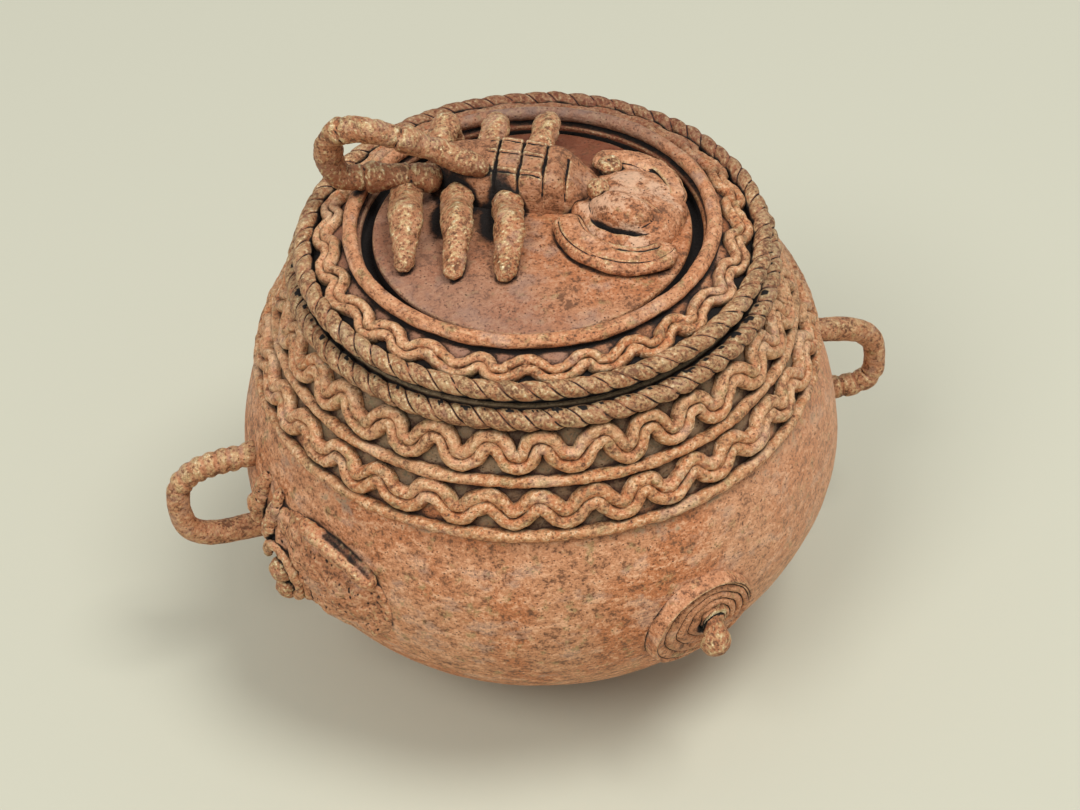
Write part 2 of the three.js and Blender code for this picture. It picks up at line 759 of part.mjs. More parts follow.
function scorpionClaw(side) {
  const centre = backFront + headLength * 0.385;
  const stations = [
    [backFront - 1.5, 0.42],
    [centre - 8, 0.82],
    [centre - 1, 1],
    [centre + 7, 0.94],
    [centre + 10.2, 0.77],
    [centre + 13, 0.55],
  ];
  const middleLine = headOffset - clawShift;
  const points = stations.map(([x, out]) => onMedallion(x, middleLine + side * out * clawSpread, clawDiameter));
  const swell = (share) => Math.sin(Math.PI * (0.3 + 0.68 * share));
  const thickness = (share) => THREE.MathUtils.lerp(clawTipDiameter, clawDiameter, swell(share));
  const arm = posed(rod(points, thickness, 12, 6));
  // The slit between the two fingers runs along the claw's end, on the side towards the head
  const [root, tip] = [points[3], points[5]];
  const middle = root.clone().lerp(tip, 0.5);
  const inward = place(headPlace - middle.x, headOffset - middle.y).setLength(slitInset);
  const slit = new THREE.BoxGeometry(slitLength, slitWidth, 4 * clawDiameter);
  slit.rotateZ(Math.atan2(tip.y - root.y, tip.x - root.x));
  slit.translate(middle.x + inward.x, middle.y + inward.y, medallionEdge);
  return carved(arm, medallionSeat(), backSeat(), headForm(seatGap), eyeForm(side, seatGap), posed(slit));
}

const group = new THREE.Group();

const pot = new THREE.Group();
pot.add(piece('pot_shell', potShell(), copperPatina));
pot.add(piece('rim_rope', ropeRing(rimRopeRadius, rimRopeHeight, rimRopeDiameter, rimRopeMarks), wornBrass));
pot.add(piece('lower_thread', threadRing(shoulder, 0), wornBrass));
pot.add(piece('lower_wave_band', waveBand(shoulder, lowerBandStart, lowerBandWidth,
  lowerBandWaves, strandWidth, strandHeight), copperPatina));
pot.add(piece('middle_thread', threadRing(shoulder, middleThreadStart), wornBrass));
pot.add(piece('upper_wave_band', waveBand(shoulder, upperBandStart, upperBandWidth,
  upperBandWaves, strandWidth, strandHeight), copperPatina));
const leftLoop = loopHandle(-1, leftHandleReach, leftHandleHeight, leftHandleDroop);
const rightLoop = loopHandle(1, rightHandleReach, rightHandleHeight, rightHandleDroop);
pot.add(piece('handle_left', leftLoop, wornBrass));
pot.add(piece('handle_right', rightLoop, wornBrass));
pot.add(piece('boss_coil', bossCoil(), copperPatina));
pot.add(piece('boss_nub', bossNub(), wornBrass));
pot.add(piece('relief_plaque', reliefPlaque(), darkPatina));
pot.add(piece('relief_ridge', carved(reliefRidge(), bellySeat()), wornBrass));
pot.add(piece('relief_coil', carved(reliefCoil(), bellySeat(), prongForm(shortProngDistance, 2 * seatGap),
  reliefNub(...upperNubPlace, 2 * seatGap), reliefNub(...lowerNubPlace, 2 * seatGap)), darkPatina));
pot.add(piece('relief_nub_upper', reliefNub(...upperNubPlace), wornBrass));
pot.add(piece('relief_nub_lower', reliefNub(...lowerNubPlace), wornBrass));
pot.add(piece('relief_prong_long', prong(longProngDistance), darkPatina));
pot.add(piece('relief_prong_short', prong(shortProngDistance), darkPatina));
group.add(pot);

const lid = new THREE.Group();
lid.add(piece('lid_plate', lidPlate(), copperPatina));
lid.add(piece('lid_rope', ropeRing(lidRopeRadius, lidRopeHeight, lidRopeDiameter, lidRopeMarks), wornBrass));
lid.add(piece('lid_wave_band', waveBand(crown, lidBandStart, lidBandWidth, lidBandWaves,
  lidStrandWidth, lidStrandHeight), copperPatina));
const ringThickness = medallionRingDiameter / 2;
const medallionRing = new THREE.TorusGeometry(medallionRingRadius, ringThickness, 6, segmentsPerTurn);
lid.add(piece('medallion_ring', medallionRing.translate(0, 0, ringHeight), copperPatina));
lid.add(piece('scorpion_body', scorpionBody(), copperPatina));
lid.add(piece('scorpion_tail', scorpionTail(), wornBrass));
lid.add(piece('scorpion_head', scorpionHead(), copperPatina));
for (const [name, side] of [['near', -1], ['far', 1]]) {
  lid.add(piece(`scorpion_eye_${name}`, scorpionEye(side), wornBrass));
  lid.add(piece(`scorpion_claw_${name}`, scorpionClaw(side), copperPatina));
  ['rear', 'middle', 'front'].forEach((row, i) => {
    lid.add(piece(`scorpion_leg_${name}_${row}`, scorpionLeg(side, i), wornBrass));
  });
}
group.add(lid);

export default group;
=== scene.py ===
import json
from math import atan2, copysign, cos, exp, hypot, pi, radians, sin, sqrt

import bmesh
import bpy
from mathutils import Matrix, Vector, noise
from mathutils.bvhtree import BVHTree
from mathutils.geometry import interpolate_bezier


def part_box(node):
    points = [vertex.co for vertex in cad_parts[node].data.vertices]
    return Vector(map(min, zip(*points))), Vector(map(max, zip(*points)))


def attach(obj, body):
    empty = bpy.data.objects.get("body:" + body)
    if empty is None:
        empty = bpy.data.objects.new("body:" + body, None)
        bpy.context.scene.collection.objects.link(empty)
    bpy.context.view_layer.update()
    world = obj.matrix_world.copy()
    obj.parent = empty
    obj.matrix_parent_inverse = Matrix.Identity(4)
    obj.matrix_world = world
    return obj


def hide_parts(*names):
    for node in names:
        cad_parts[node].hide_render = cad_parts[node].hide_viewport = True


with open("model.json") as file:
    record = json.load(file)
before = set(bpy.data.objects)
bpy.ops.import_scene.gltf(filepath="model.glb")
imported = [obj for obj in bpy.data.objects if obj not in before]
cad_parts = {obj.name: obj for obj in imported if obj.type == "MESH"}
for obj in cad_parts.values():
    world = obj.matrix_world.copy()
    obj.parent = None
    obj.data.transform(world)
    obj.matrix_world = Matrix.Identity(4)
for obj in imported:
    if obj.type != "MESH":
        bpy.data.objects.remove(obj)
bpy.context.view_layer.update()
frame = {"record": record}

# Shapes are worked out in millimetres and made metres when a piece is finished
MM = 0.001
UP = Vector((0, 0, 1))


def corners_of(node):
    low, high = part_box(node)
    return low / MM, high / MM


class Cord:
    """A rope or ring of the frame: its middle's radius and height, and its half thickness."""

    def __init__(self, node):
        low, high = corners_of(node)
        self.half = (high.z - low.z) / 2
        self.radius = high.x - self.half
        self.height = (high.z + low.z) / 2


shell_top = corners_of("pot_shell")[1]

# Pot body: the same lines as the frame's own shell
BELLY_RADIUS = shell_top.x
EQUATOR = 47
LOWER_DEPTH = 54.7
LOWER_FULLNESS = 1.7
UPPER_DEPTH = 57
SHOULDER_FOOT = 70.9
RIM_SEAT = 91.7
WALL = 3.2
MOUTH_RADIUS = 43.6
LIP_RADIUS = 46.6
LIP_HEIGHT = shell_top.z
RIM_SEAT_RADIUS = 48.6

# Ropes, threads and waves
RIM_ROPE = Cord("rim_rope")
LID_ROPE = Cord("lid_rope")
RIM_ROPE_MARKS = 66
LID_ROPE_MARKS = 63
THREAD_WIDTH = 2.6
THREAD_RISE = 1.9
SEAT_GAP = 0.3
STRAND_SHARE = 0.162
STRAND_RISE = 2.5
LID_STRAND_SHARE = 0.34
LID_STRAND_RISE = 2.3
LOWER_BAND_SHARE = 0.475
LOWER_WAVES = 33
UPPER_WAVES = 30
LID_WAVES = 26
# Of a strand's width: how far its middle lies from the pair's, and its half width
STRAND_ASIDE = 0.45
STRAND_HALF = 0.52

# Lid plate
FLANGE_BOTTOM = 95.7
FLANGE_TOP = 97.5
FLANGE_RADIUS = 46.3
COLLAR_RADIUS = 43.2
COLLAR_WALL = 2.5
COLLAR_DEPTH = 5.7
CROWN_FOOT_RADIUS = 44.9
CROWN_FOOT = 98.6
RING_SEAT = 101.8
RING = Cord("medallion_ring")
RING_SEAT_OUTER = 38.9
MOAT_OUTER = 35.1
MEDALLION_RADIUS = 32.7
MEDALLION_EDGE = 102
MEDALLION_RISE = 2
MOAT_FLOOR = 98.5
LID_WALL = 2.3

# Handles, boss and figure in relief
HANDLE_HALF = 2.7
HANDLE_SQUARENESS = 2.6
BOSS_AZIMUTH = radians(-76.5)
BOSS_HEIGHT = 43
BOSS_RADIUS = 13
BOSS_RISE = 3.2
NUB_BALL = 3.3
NUB_STEM = 2.6
NUB_REACH = 5.2
COIL_CENTRE = Vector((2.6, 2.2))
COIL_TURNS = 6
RELIEF_AZIMUTH = radians(-152.5)
RELIEF_HEIGHT = 48
RELIEF_LENGTH = 44
RELIEF_WIDTH = 28
RELIEF_RISE = 2.4

# Scorpion, in its own frame: x runs to its head
SCORPION_HEADING = radians(-30)
SPINE = 9
BACK_REAR = -24
BACK_FRONT = 8.5
BACK_HEIGHT = 8.6
BACK_HALF = 9
SCORPION_TURN = Matrix.Rotation(SCORPION_HEADING, 4, "Z")
FIRST_LEG = -23.6
LEG_PITCH = 10.5
LEG_HALF = 2.8
TAIL_REACH = 45.3
HEAD_LENGTH = 24
HEAD_X = BACK_FRONT + HEAD_LENGTH * 0.42
HEAD_Y = 8
HEAD_WIDTH = 27
HEAD_RISE = 5.4
SNOUT_Y = 3.2
SNOUT_TURN = radians(-15)
CLAW_HALF = 2.6


# Outlines

def belly_outside(height):
    rise = height - EQUATOR
    if rise < 0:
        share = min(1, -rise / LOWER_DEPTH)
        return BELLY_RADIUS * (1 - share ** LOWER_FULLNESS) ** (1 / LOWER_FULLNESS)
    return BELLY_RADIUS * sqrt(1 - (rise / UPPER_DEPTH) ** 2)


def rounded(corners, radius):
    """The outline with a small round at each inner corner."""
    stations = 3
    points = [Vector(corner) for corner in corners]
    line = [points[0]]
    for before, corner, after in zip(points, points[1:], points[2:]):
        back, ahead = before - corner, after - corner
        reach = min(radius, back.length * 0.45, ahead.length * 0.45)
        start = corner + back.normalized() * reach
        end = corner + ahead.normalized() * reach
        for i in range(stations + 1):
            share = i / stations
            line.append(start.lerp(corner, share).lerp(corner.lerp(end, share), share))
    line.append(points[-1])
    return line


def stepped(line, pitch):
    """The outline with stations no further apart than about the pitch."""
    out = [line[0]]
    for start, end in zip(line, line[1:]):
        count = max(1, round((end - start).length / pitch))
        out += [start.lerp(end, i / count) for i in range(1, count + 1)]
    return out


def at_turn(turn, radius, height):
    return Vector((radius * cos(turn), radius * sin(turn), height))


class Slope:
    """A straight sloping band of a turned body, with places along it and out from it."""

    def __init__(self, foot, top):
        self.foot = Vector(foot)
        line = Vector(top) - self.foot
        self.length = line.length
        self.along = line / self.length
        self.out = Vector((self.along.y, -self.along.x))

    def at(self, distance, rise=0.0):
        return self.foot + self.along * distance + self.out * rise

    def around(self, turn, distance, rise):
        """A place at a turn round the upright axis, and the band's two directions there."""
        return [at_turn(turn, *flat) for flat in (self.at(distance, rise), self.along, self.out)]

    def beside_rope(self, cord, rise):
        """Where a rope that lies at the slope's end begins and stops at this rise."""
        spot = Vector((cord.radius, cord.height)) - self.foot
        width = sqrt(max(0, (cord.half + SEAT_GAP) ** 2 - (rise - spot.dot(self.out)) ** 2))
        return spot.dot(self.along) - width, spot.dot(self.along) + width


SHOULDER = Slope((belly_outside(SHOULDER_FOOT), SHOULDER_FOOT), (RIM_SEAT_RADIUS, RIM_SEAT))
CROWN = Slope((CROWN_FOOT_RADIUS, CROWN_FOOT), (RING_SEAT_OUTER, RING_SEAT))


# Blanks: the simple closed forms that every piece is worked from

def faced_out(mesh):
    mesh.normal_update()
    bmesh.ops.recalc_face_normals(mesh, faces=mesh.faces)
    return mesh


def turned(outline, steps):
    """A profile spun round the upright axis; its ends lie on the axis or meet each other."""
    mesh = bmesh.new()
    stations = [mesh.verts.new((point[0], 0, point[1])) for point in outline]
    spans = [mesh.edges.new(pair) for pair in zip(stations, stations[1:])]
    bmesh.ops.spin(mesh, geom=stations + spans, axis=(0, 0, 1), cent=(0, 0, 0), angle=2 * pi,
                   steps=steps, use_merge=True)
    bmesh.ops.remove_doubles(mesh, verts=mesh.verts, dist=1e-3)
    return faced_out(mesh)


def cord_ring(steps, sides, place, section):
    """An endless cord: place(turn) gives its middle and its two cross directions, and
    section(turn, angle) how far out it reaches along them."""
    mesh = bmesh.new()
    hub = 4
    upright = Matrix.Translation((hub, 0, 0)) @ Matrix.Rotation(pi / 2, 4, "X")
    bmesh.ops.create_circle(mesh, segments=sides, radius=1, matrix=upright)
    bmesh.ops.spin(mesh, geom=mesh.verts[:] + mesh.edges[:], axis=(0, 0, 1), cent=(0, 0, 0),
                   angle=2 * pi, steps=steps, use_merge=True)
    places = [place(2 * pi * step / steps) for step in range(steps)]
    for vert in mesh.verts:
        turn = atan2(vert.co.y, vert.co.x) % (2 * pi)
        angle = atan2(vert.co.z, hypot(vert.co.x, vert.co.y) - hub)
        middle, side, out = places[round(turn / (2 * pi) * steps) % steps]
        across, rise = section(turn, angle)
        vert.co = middle + side * across + out * rise
    return faced_out(mesh)


def smooth_path(points):
    """A smooth line through chosen points."""
    spans = 12
    points = [Vector(point) for point in points]
    ends = [points[0] * 2 - points[1]] + points + [points[-1] * 2 - points[-2]]
    line = []
    for before, start, end, after in zip(ends, ends[1:], ends[2:], ends[3:]):
        leave, arrive = start + (end - before) / 6, end - (after - start) / 6
        line += interpolate_bezier(start, leave, arrive, end, spans)[:-1]
    return line + [points[-1]]


def lengths_of(line):
    return [(b - a).length for a, b in zip(line, line[1:])]


def along(line, share):
    """The point at a share of the line's length."""
    lengths = lengths_of(line)
    reach = share * sum(lengths)
    for start, end, length in zip(line, line[1:], lengths):
        if reach <= length:
            return start.lerp(end, reach / max(length, 1e-9))
        reach -= length
    return line[-1]


# A rod's stations crowd towards its ends by this share
CROWDING = 0.35
# Its grooves are darkened with soot and painted shade where they are deeper than this share of its
# half thickness
SOOT_AND_SHADE_DEPTH = 0.08
GROOVE_SOOT_AND_SHADE = 1.6


def rod(points, half, steps, sides, groove=None):
    """A round-ended rod along a smooth line. half(share) is its half thickness, as one number or as
    (across, up); groove(share, angle) scales it, and soot with painted shade lies where it is cut
    deep."""
    line = smooth_path(points)
    total = sum(lengths_of(line))
    mesh = bmesh.new()
    bmesh.ops.create_cone(mesh, cap_ends=True, cap_tris=True, segments=sides,
                          radius1=1, radius2=1, depth=1)
    lengthwise = [e for e in mesh.edges if abs(e.verts[0].co.z - e.verts[1].co.z) > 0.5]
    bmesh.ops.subdivide_edges(mesh, edges=lengthwise, cuts=steps - 1)
    shares = [CROWDING * (1 - cos(pi * step / steps)) / 2 + (1 - CROWDING) * step / steps
              for step in range(steps + 1)]
    middles = [along(line, share) for share in shares]
    sections = []
    side = None
    for step, share in enumerate(shares):
        ahead = (middles[min(step + 1, steps)] - middles[max(step - 1, 0)]).normalized()
        side = side or ahead.cross(UP)
        side = (side - ahead * side.dot(ahead)).normalized()
        size = half(share)
        wide, tall = size if isinstance(size, tuple) else (size, size)
        from_end = min(share, 1 - share) * total / max(wide, tall)
        closing = sqrt(max(0.0, 1 - (1 - min(from_end, 1)) ** 2))
        sections.append((middles[step], side * wide * closing, side.cross(ahead) * tall * closing))
    soot_and_shade = mesh.verts.layers.float.new("soot_and_shade")
    for vert in mesh.verts:
        step = round((vert.co.z + 0.5) * steps)
        middle, wide, tall = sections[step]
        scale = groove(shares[step], atan2(vert.co.y, vert.co.x)) if groove else 1.0
        # Soot and painted shade in the deep grooves
        vert[soot_and_shade] = GROOVE_SOOT_AND_SHADE * max(0.0, 1 - SOOT_AND_SHADE_DEPTH - scale)
        vert.co = middle + wide * vert.co.x * scale + tall * vert.co.y * scale
    return faced_out(mesh)


def lens(length, width, lay, rings, spokes):
    """A flat oval blank with a closed underside. lay(x, y, top) gives the place of each point."""
    rim = [Vector((ring / rings, 1)) for ring in range(rings + 1)]
    mesh = turned(rim + [Vector((0.97, 0)), Vector((0, 0))], spokes)
    for vert in mesh.verts:
        vert.co = lay(vert.co.x * length / 2, vert.co.y * width / 2, vert.co.z > 0.5)
    return faced_out(mesh)


def ball(centre, radius):
    mesh = bmesh.new()
    bmesh.ops.create_icosphere(mesh, subdivisions=4, radius=radius)
    for vert in mesh.verts:
        vert.co += centre
    return mesh


def step_up(low, high, value):
    """A soft step from 0 to 1."""
    share = min(1, max(0, (value - low) / (high - low)))
    return share * share * (3 - 2 * share)


def hump(x, y, width, depth=None):
    """A soft round hump of height 1."""
    return exp(-(x / width) ** 2 - (y / (depth or width)) ** 2)


def mark(distance, width):
    """A soft line of height 1."""
    return exp(-(distance / width) ** 2)


def level_ring(turn, radius, height):
    """A cord's middle on a level ring, and its two cross directions."""
    flat = at_turn(turn, 1, 0)
    return flat * radius + UP * height, flat, UP


def wavering(turn, seed):
    """Unevenness round a ring, as a function of how often it comes and goes."""
    spot = at_turn(turn, 1, seed)
    return lambda often, shift=0: noise.noise(spot * often + Vector((shift, 0, 0)))


def hand_worked(mesh, depth, size, seed):
    """Small dents and swellings of wax worked by hand."""
    mesh.normal_update()
    shift = Vector((seed, seed * 0.7, 3.1))
    moves = [depth * noise.fractal(vert.co / size + shift, 0.8, 2.1, 3) for vert in mesh.verts]
    for vert, move in zip(mesh.verts, moves):
        vert.co += vert.normal * move
    return mesh


# Finished pieces

# What each node's piece rides on and takes its finish from, as the record has it
bodies = frame["record"]["behaviour"]["bodies"]
body_of = {node: body for body, nodes in bodies.items() for node in nodes}
slot_of = {part["node"]: part["material_slot"] for part in frame["record"]["subparts"]}
made = {body: [] for body in bodies}

# Handled pieces are rubbed most along their tops; their upward faces also get lighter brass as
# painted light from above
CREST_WEAR_AND_LIGHT = 0.05


def data_from(mesh, name):
    data = bpy.data.meshes.new(name)
    mesh.to_mesh(data)
    mesh.free()
    return data


def shown(name, data):
    thing = bpy.data.objects.new(name, data)
    bpy.context.scene.collection.objects.link(thing)
    return thing


def finished(node, mesh, skin):
    """The blank becomes a piece in metres that rides on its body and stands for its node."""
    body, slot = body_of[node], slot_of[node]
    mesh.normal_update()
    mesh.verts.layers.float.new("hollow")
    raised = mesh.verts.layers.float.new("raised")
    crest_wear_and_light = CREST_WEAR_AND_LIGHT if slot == "worn_brass" else 0.0
    for vert in mesh.verts:
        vert[raised] = bulge(vert) + crest_wear_and_light * max(0, vert.normal.z)
    bmesh.ops.scale(mesh, vec=(MM, MM, MM), verts=mesh.verts)
    for face in mesh.faces:
        face.smooth = True
    data = data_from(mesh, node + "_cast")
    data.materials.append(skin)
    piece = shown(node + "_cast", data)
    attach(piece, body)
    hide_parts(node)
    made[body].append(piece)


def bulge(vert):
    """How far the surface stands out from its neighbours: above 0 on a ridge, below in a groove."""
    edges = vert.link_edges
    reach = sum(vert.normal.dot(vert.co - edge.other_vert(vert).co) / max(edge.calc_length(), 1e-6)
                for edge in edges)
    return reach / len(edges)


HOLLOW_REACH = 3.4 * MM
HOLLOW_RAYS = 9
# The rays fan out over this share of the half sphere and start this far above the surface
HOLLOW_FAN = 0.92
HOLLOW_START = 0.06 * MM


def hollow_rays():
    golden = pi * (3 - sqrt(5))
    rays = []
    for i in range(HOLLOW_RAYS):
        height = sqrt(1 - (i + 0.5) / HOLLOW_RAYS * HOLLOW_FAN)
        flat = sqrt(1 - height * height)
        rays.append((flat * cos(golden * i), flat * sin(golden * i), height))
    return rays


def shut_in(vert, tree, rays):
    """How much of what is close round a point is other metal, from 0 to 1."""
    normal = vert.normal
    side = normal.orthogonal().normalized()
    other = normal.cross(side)
    start = vert.co + normal * HOLLOW_START
    shut = 0.0
    for across, over, height in rays:
        ray = side * across + other * over + normal * height
        distance = tree.ray_cast(start, ray, HOLLOW_REACH)[3]
        if distance is not None:
            shut += 1 - (distance / HOLLOW_REACH) ** 2
    return shut / HOLLOW_RAYS


def evened(levels, edges):
    """Each point's level averaged with its neighbours'."""
    total = list(levels)
    count = [1] * len(levels)
    for edge in edges:
        a, b = edge.vertices
        total[a] += levels[b]
        total[b] += levels[a]
        count[a] += 1
        count[b] += 1
    return [t / c for t, c in zip(total, count)]


def settle_grime_and_shade(pieces):
    """Marks each point of the pieces with grime and painted shade: more where nearby metal closes it
    in, in the rods' deep grooves, and at the painted shade on the lid and between the ropes.
    """
    verts, faces = [], []
    for piece in pieces:
        base = len(verts)
        verts += [vert.co.copy() for vert in piece.data.vertices]
        faces += [tuple(base + i for i in face.vertices) for face in piece.data.polygons]
    tree = BVHTree.FromPolygons(verts, faces)
    rays = hollow_rays()
    for piece in pieces:
        data = piece.data
        # Painted shade and grime, where nearby metal closes a point in
        shade_and_grime = [shut_in(vert, tree, rays) for vert in data.vertices]
        for _ in range(2):
            shade_and_grime = evened(shade_and_grime, data.edges)
        if "soot_and_shade" in data.attributes:
            traces = data.attributes["soot_and_shade"].data
            shade_and_grime = [level + trace.value for level, trace in zip(shade_and_grime, traces)]
        for soot_and_shade, starts in ((shade_on_lid, ("lid_plate", "scorpion_body", "scorpion_head")),
                             (shade_between_ropes, ("rim_rope", "lid_rope", "lid_plate"))):
            if piece.name.startswith(starts):
                shade_and_grime = [level + soot_and_shade(vert.co / MM) for level, vert in zip(shade_and_grime, data.vertices)]
        data.attributes["hollow"].data.foreach_set("value", shade_and_grime)


# Painted shade: the rope gap, the moat, between the near legs, under the snout and at the neck
ROPE_GAP_SHADE = 0.9
MOAT_SHADE = 0.8
LEG_GAP_SHADE = 0.9
SNOUT_SHADE = 0.45
NECK_SHADE = 0.6


def shade_between_ropes(spot):
    """Painted shadow in the gap that stays open between the rope on the rim and the one on the lid.
    """
    reach = spot.xy.length
    if spot.z < RIM_ROPE.height + RIM_ROPE.half and reach > RIM_ROPE.radius - RIM_ROPE.half - 0.5:
        return ROPE_GAP_SHADE * step_up(RIM_ROPE.radius, RIM_ROPE.radius - 0.8 * RIM_ROPE.half, reach)
    if reach < COLLAR_RADIUS + 0.2:
        return 0.0
    begin, full = (LID_ROPE.height - share * LID_ROPE.half for share in (0.1, 0.8))
    return ROPE_GAP_SHADE * step_up(begin, full, spot.z)


def shade_on_lid(spot):
    """Painted shade in the moat, between the near legs close to the scorpion's back, under its snout
    and at its neck."""
    if MEDALLION_RADIUS < spot.xy.length < RING_SEAT_OUTER and spot.z < RING_SEAT - 1:
        return MOAT_SHADE
    spot = SCORPION_TURN.inverted() @ spot
    gaps = (FIRST_LEG + LEG_PITCH * (row + 0.55) for row in range(2))
    soot_and_shade = LEG_GAP_SHADE * sum(hump(spot.x - gap, spot.y + 1.5, 3.2, 7.5) for gap in gaps)
    soot_and_shade += SNOUT_SHADE * furrow(*snout_place(spot))
    return soot_and_shade + NECK_SHADE * hump(spot.x - BACK_FRONT, spot.y - 1, 1.6)


# Materials

def operator(name, reflected=False):
    """What a sign does between a socket and another socket or a number."""
    def method(self, other):
        return self.maths(name, *((other, self) if reflected else (self, other)))
    return method


class Wire:
    """A socket; sums and products of sockets become Math nodes."""

    def __init__(self, shader, socket):
        self.shader = shader
        self.socket = socket

    def maths(self, operation, first, second, clamp=False):
        return self.shader.node("ShaderNodeMath", {0: first, 1: second}, operation=operation,
                                use_clamp=clamp)

    __add__, __radd__ = operator("ADD"), operator("ADD", True)
    __sub__, __rsub__ = operator("SUBTRACT"), operator("SUBTRACT", True)
    __mul__, __rmul__ = operator("MULTIPLY"), operator("MULTIPLY", True)

    def held(self):
        """Kept between 0 and 1."""
        return self.maths("ADD", self, 0.0, clamp=True)

    def step(self, low, high):
        """A soft step: 0 below low and 1 above high."""
        inputs = {"Value": self, "From Min": low, "From Max": high}
        return self.shader.node("ShaderNodeMapRange", inputs, interpolation_type="SMOOTHSTEP")


class Shader:
    """A material's nodes."""

    def __init__(self, name):
        self.material = bpy.data.materials.new(name)
        self.material.use_nodes = True
        self.tree = self.material.node_tree
        self.tree.nodes.clear()

    def node(self, kind, inputs, output=0, **settings):
        """Adds a node and gives one of its outputs, if it has any."""
        node = self.tree.nodes.new(kind)
        for name, value in settings.items():
            setattr(node, name, value)
        for name, value in inputs.items():
            socket = self.found(node.inputs, name)
            if isinstance(value, Wire):
                self.tree.links.new(value.socket, socket)
            else:
                socket.default_value = value
        return Wire(self, self.found(node.outputs, output)) if len(node.outputs) else None

    @staticmethod
    def found(sockets, name):
        """The socket with this name, or the one at this number."""
        if isinstance(name, int):
            return sockets[name]
        return next(socket for socket in sockets if socket.name == name and socket.enabled)

    def mix(self, factor, first, second):
        inputs = {"Factor": factor, "A": first, "B": second}
        return self.node("ShaderNodeMix", inputs, "Result", data_type="RGBA")

    def noise(self, vector, scale, detail, roughness):
        """Noise that swings about 0."""
        inputs = {"Vector": vector, "Scale": scale, "Detail": detail, "Roughness": roughness}
        return self.node("ShaderNodeTexNoise", inputs) - 0.5

    def attribute(self, name):
        return self.node("ShaderNodeAttribute", {}, "Fac", attribute_name=name)

    def finish(self, surface):
        self.node("ShaderNodeOutputMaterial", {"Surface": surface})
        return self.material


def tone(code):
    """A colour written as on a paint chart, in linear light."""
    parts = [(code >> shift & 255) / 255 for shift in (16, 8, 0)]
    linear = [p / 12.92 if p <= 0.04045 else ((p + 0.055) / 1.055) ** 2.4 for p in parts]
    return (*linear, 1.0)


COPPER = tone(0xCE8F64)
CLAY_RED = tone(0xC67744)
ROSE_GREY = tone(0xB8937C)
OLIVE = tone(0xA48F5E)
PALE = tone(0xECB48A)
UMBER = tone(0x7A4E30)
FAR_SHADE_RED = tone(0x6E3016)
PURPLE_GREY = tone(0x6A564E)
GRIME_SHADE_BLACK = tone(0x150C06)
DARK_EARTH = tone(0x452917)
TAWNY = tone(0x8A4F2C)
SANDY = tone(0xE9B48F)
MAUVE = tone(0x94705F)
PINK_CREAM = tone(0xE2B896)
GREEN_GREY = tone(0x6C6C54)
BRASS = tone(0xDCC08C)
GLINT = tone(0xFAEDC8)


class SideTint:
    """A colour laid over one side, used both for stains and for painted light and shade: it begins at
    one distance along a direction and is full at another, both in millimetres. It dulls the brass
    that shows through."""

    def __init__(self, colour, direction, begin, full, strength, dulls=0.0):
        self.colour = colour
        self.direction = Vector(direction).normalized() / MM
        self.begin = begin
        self.full = full
        self.strength = strength
        self.dulls = dulls


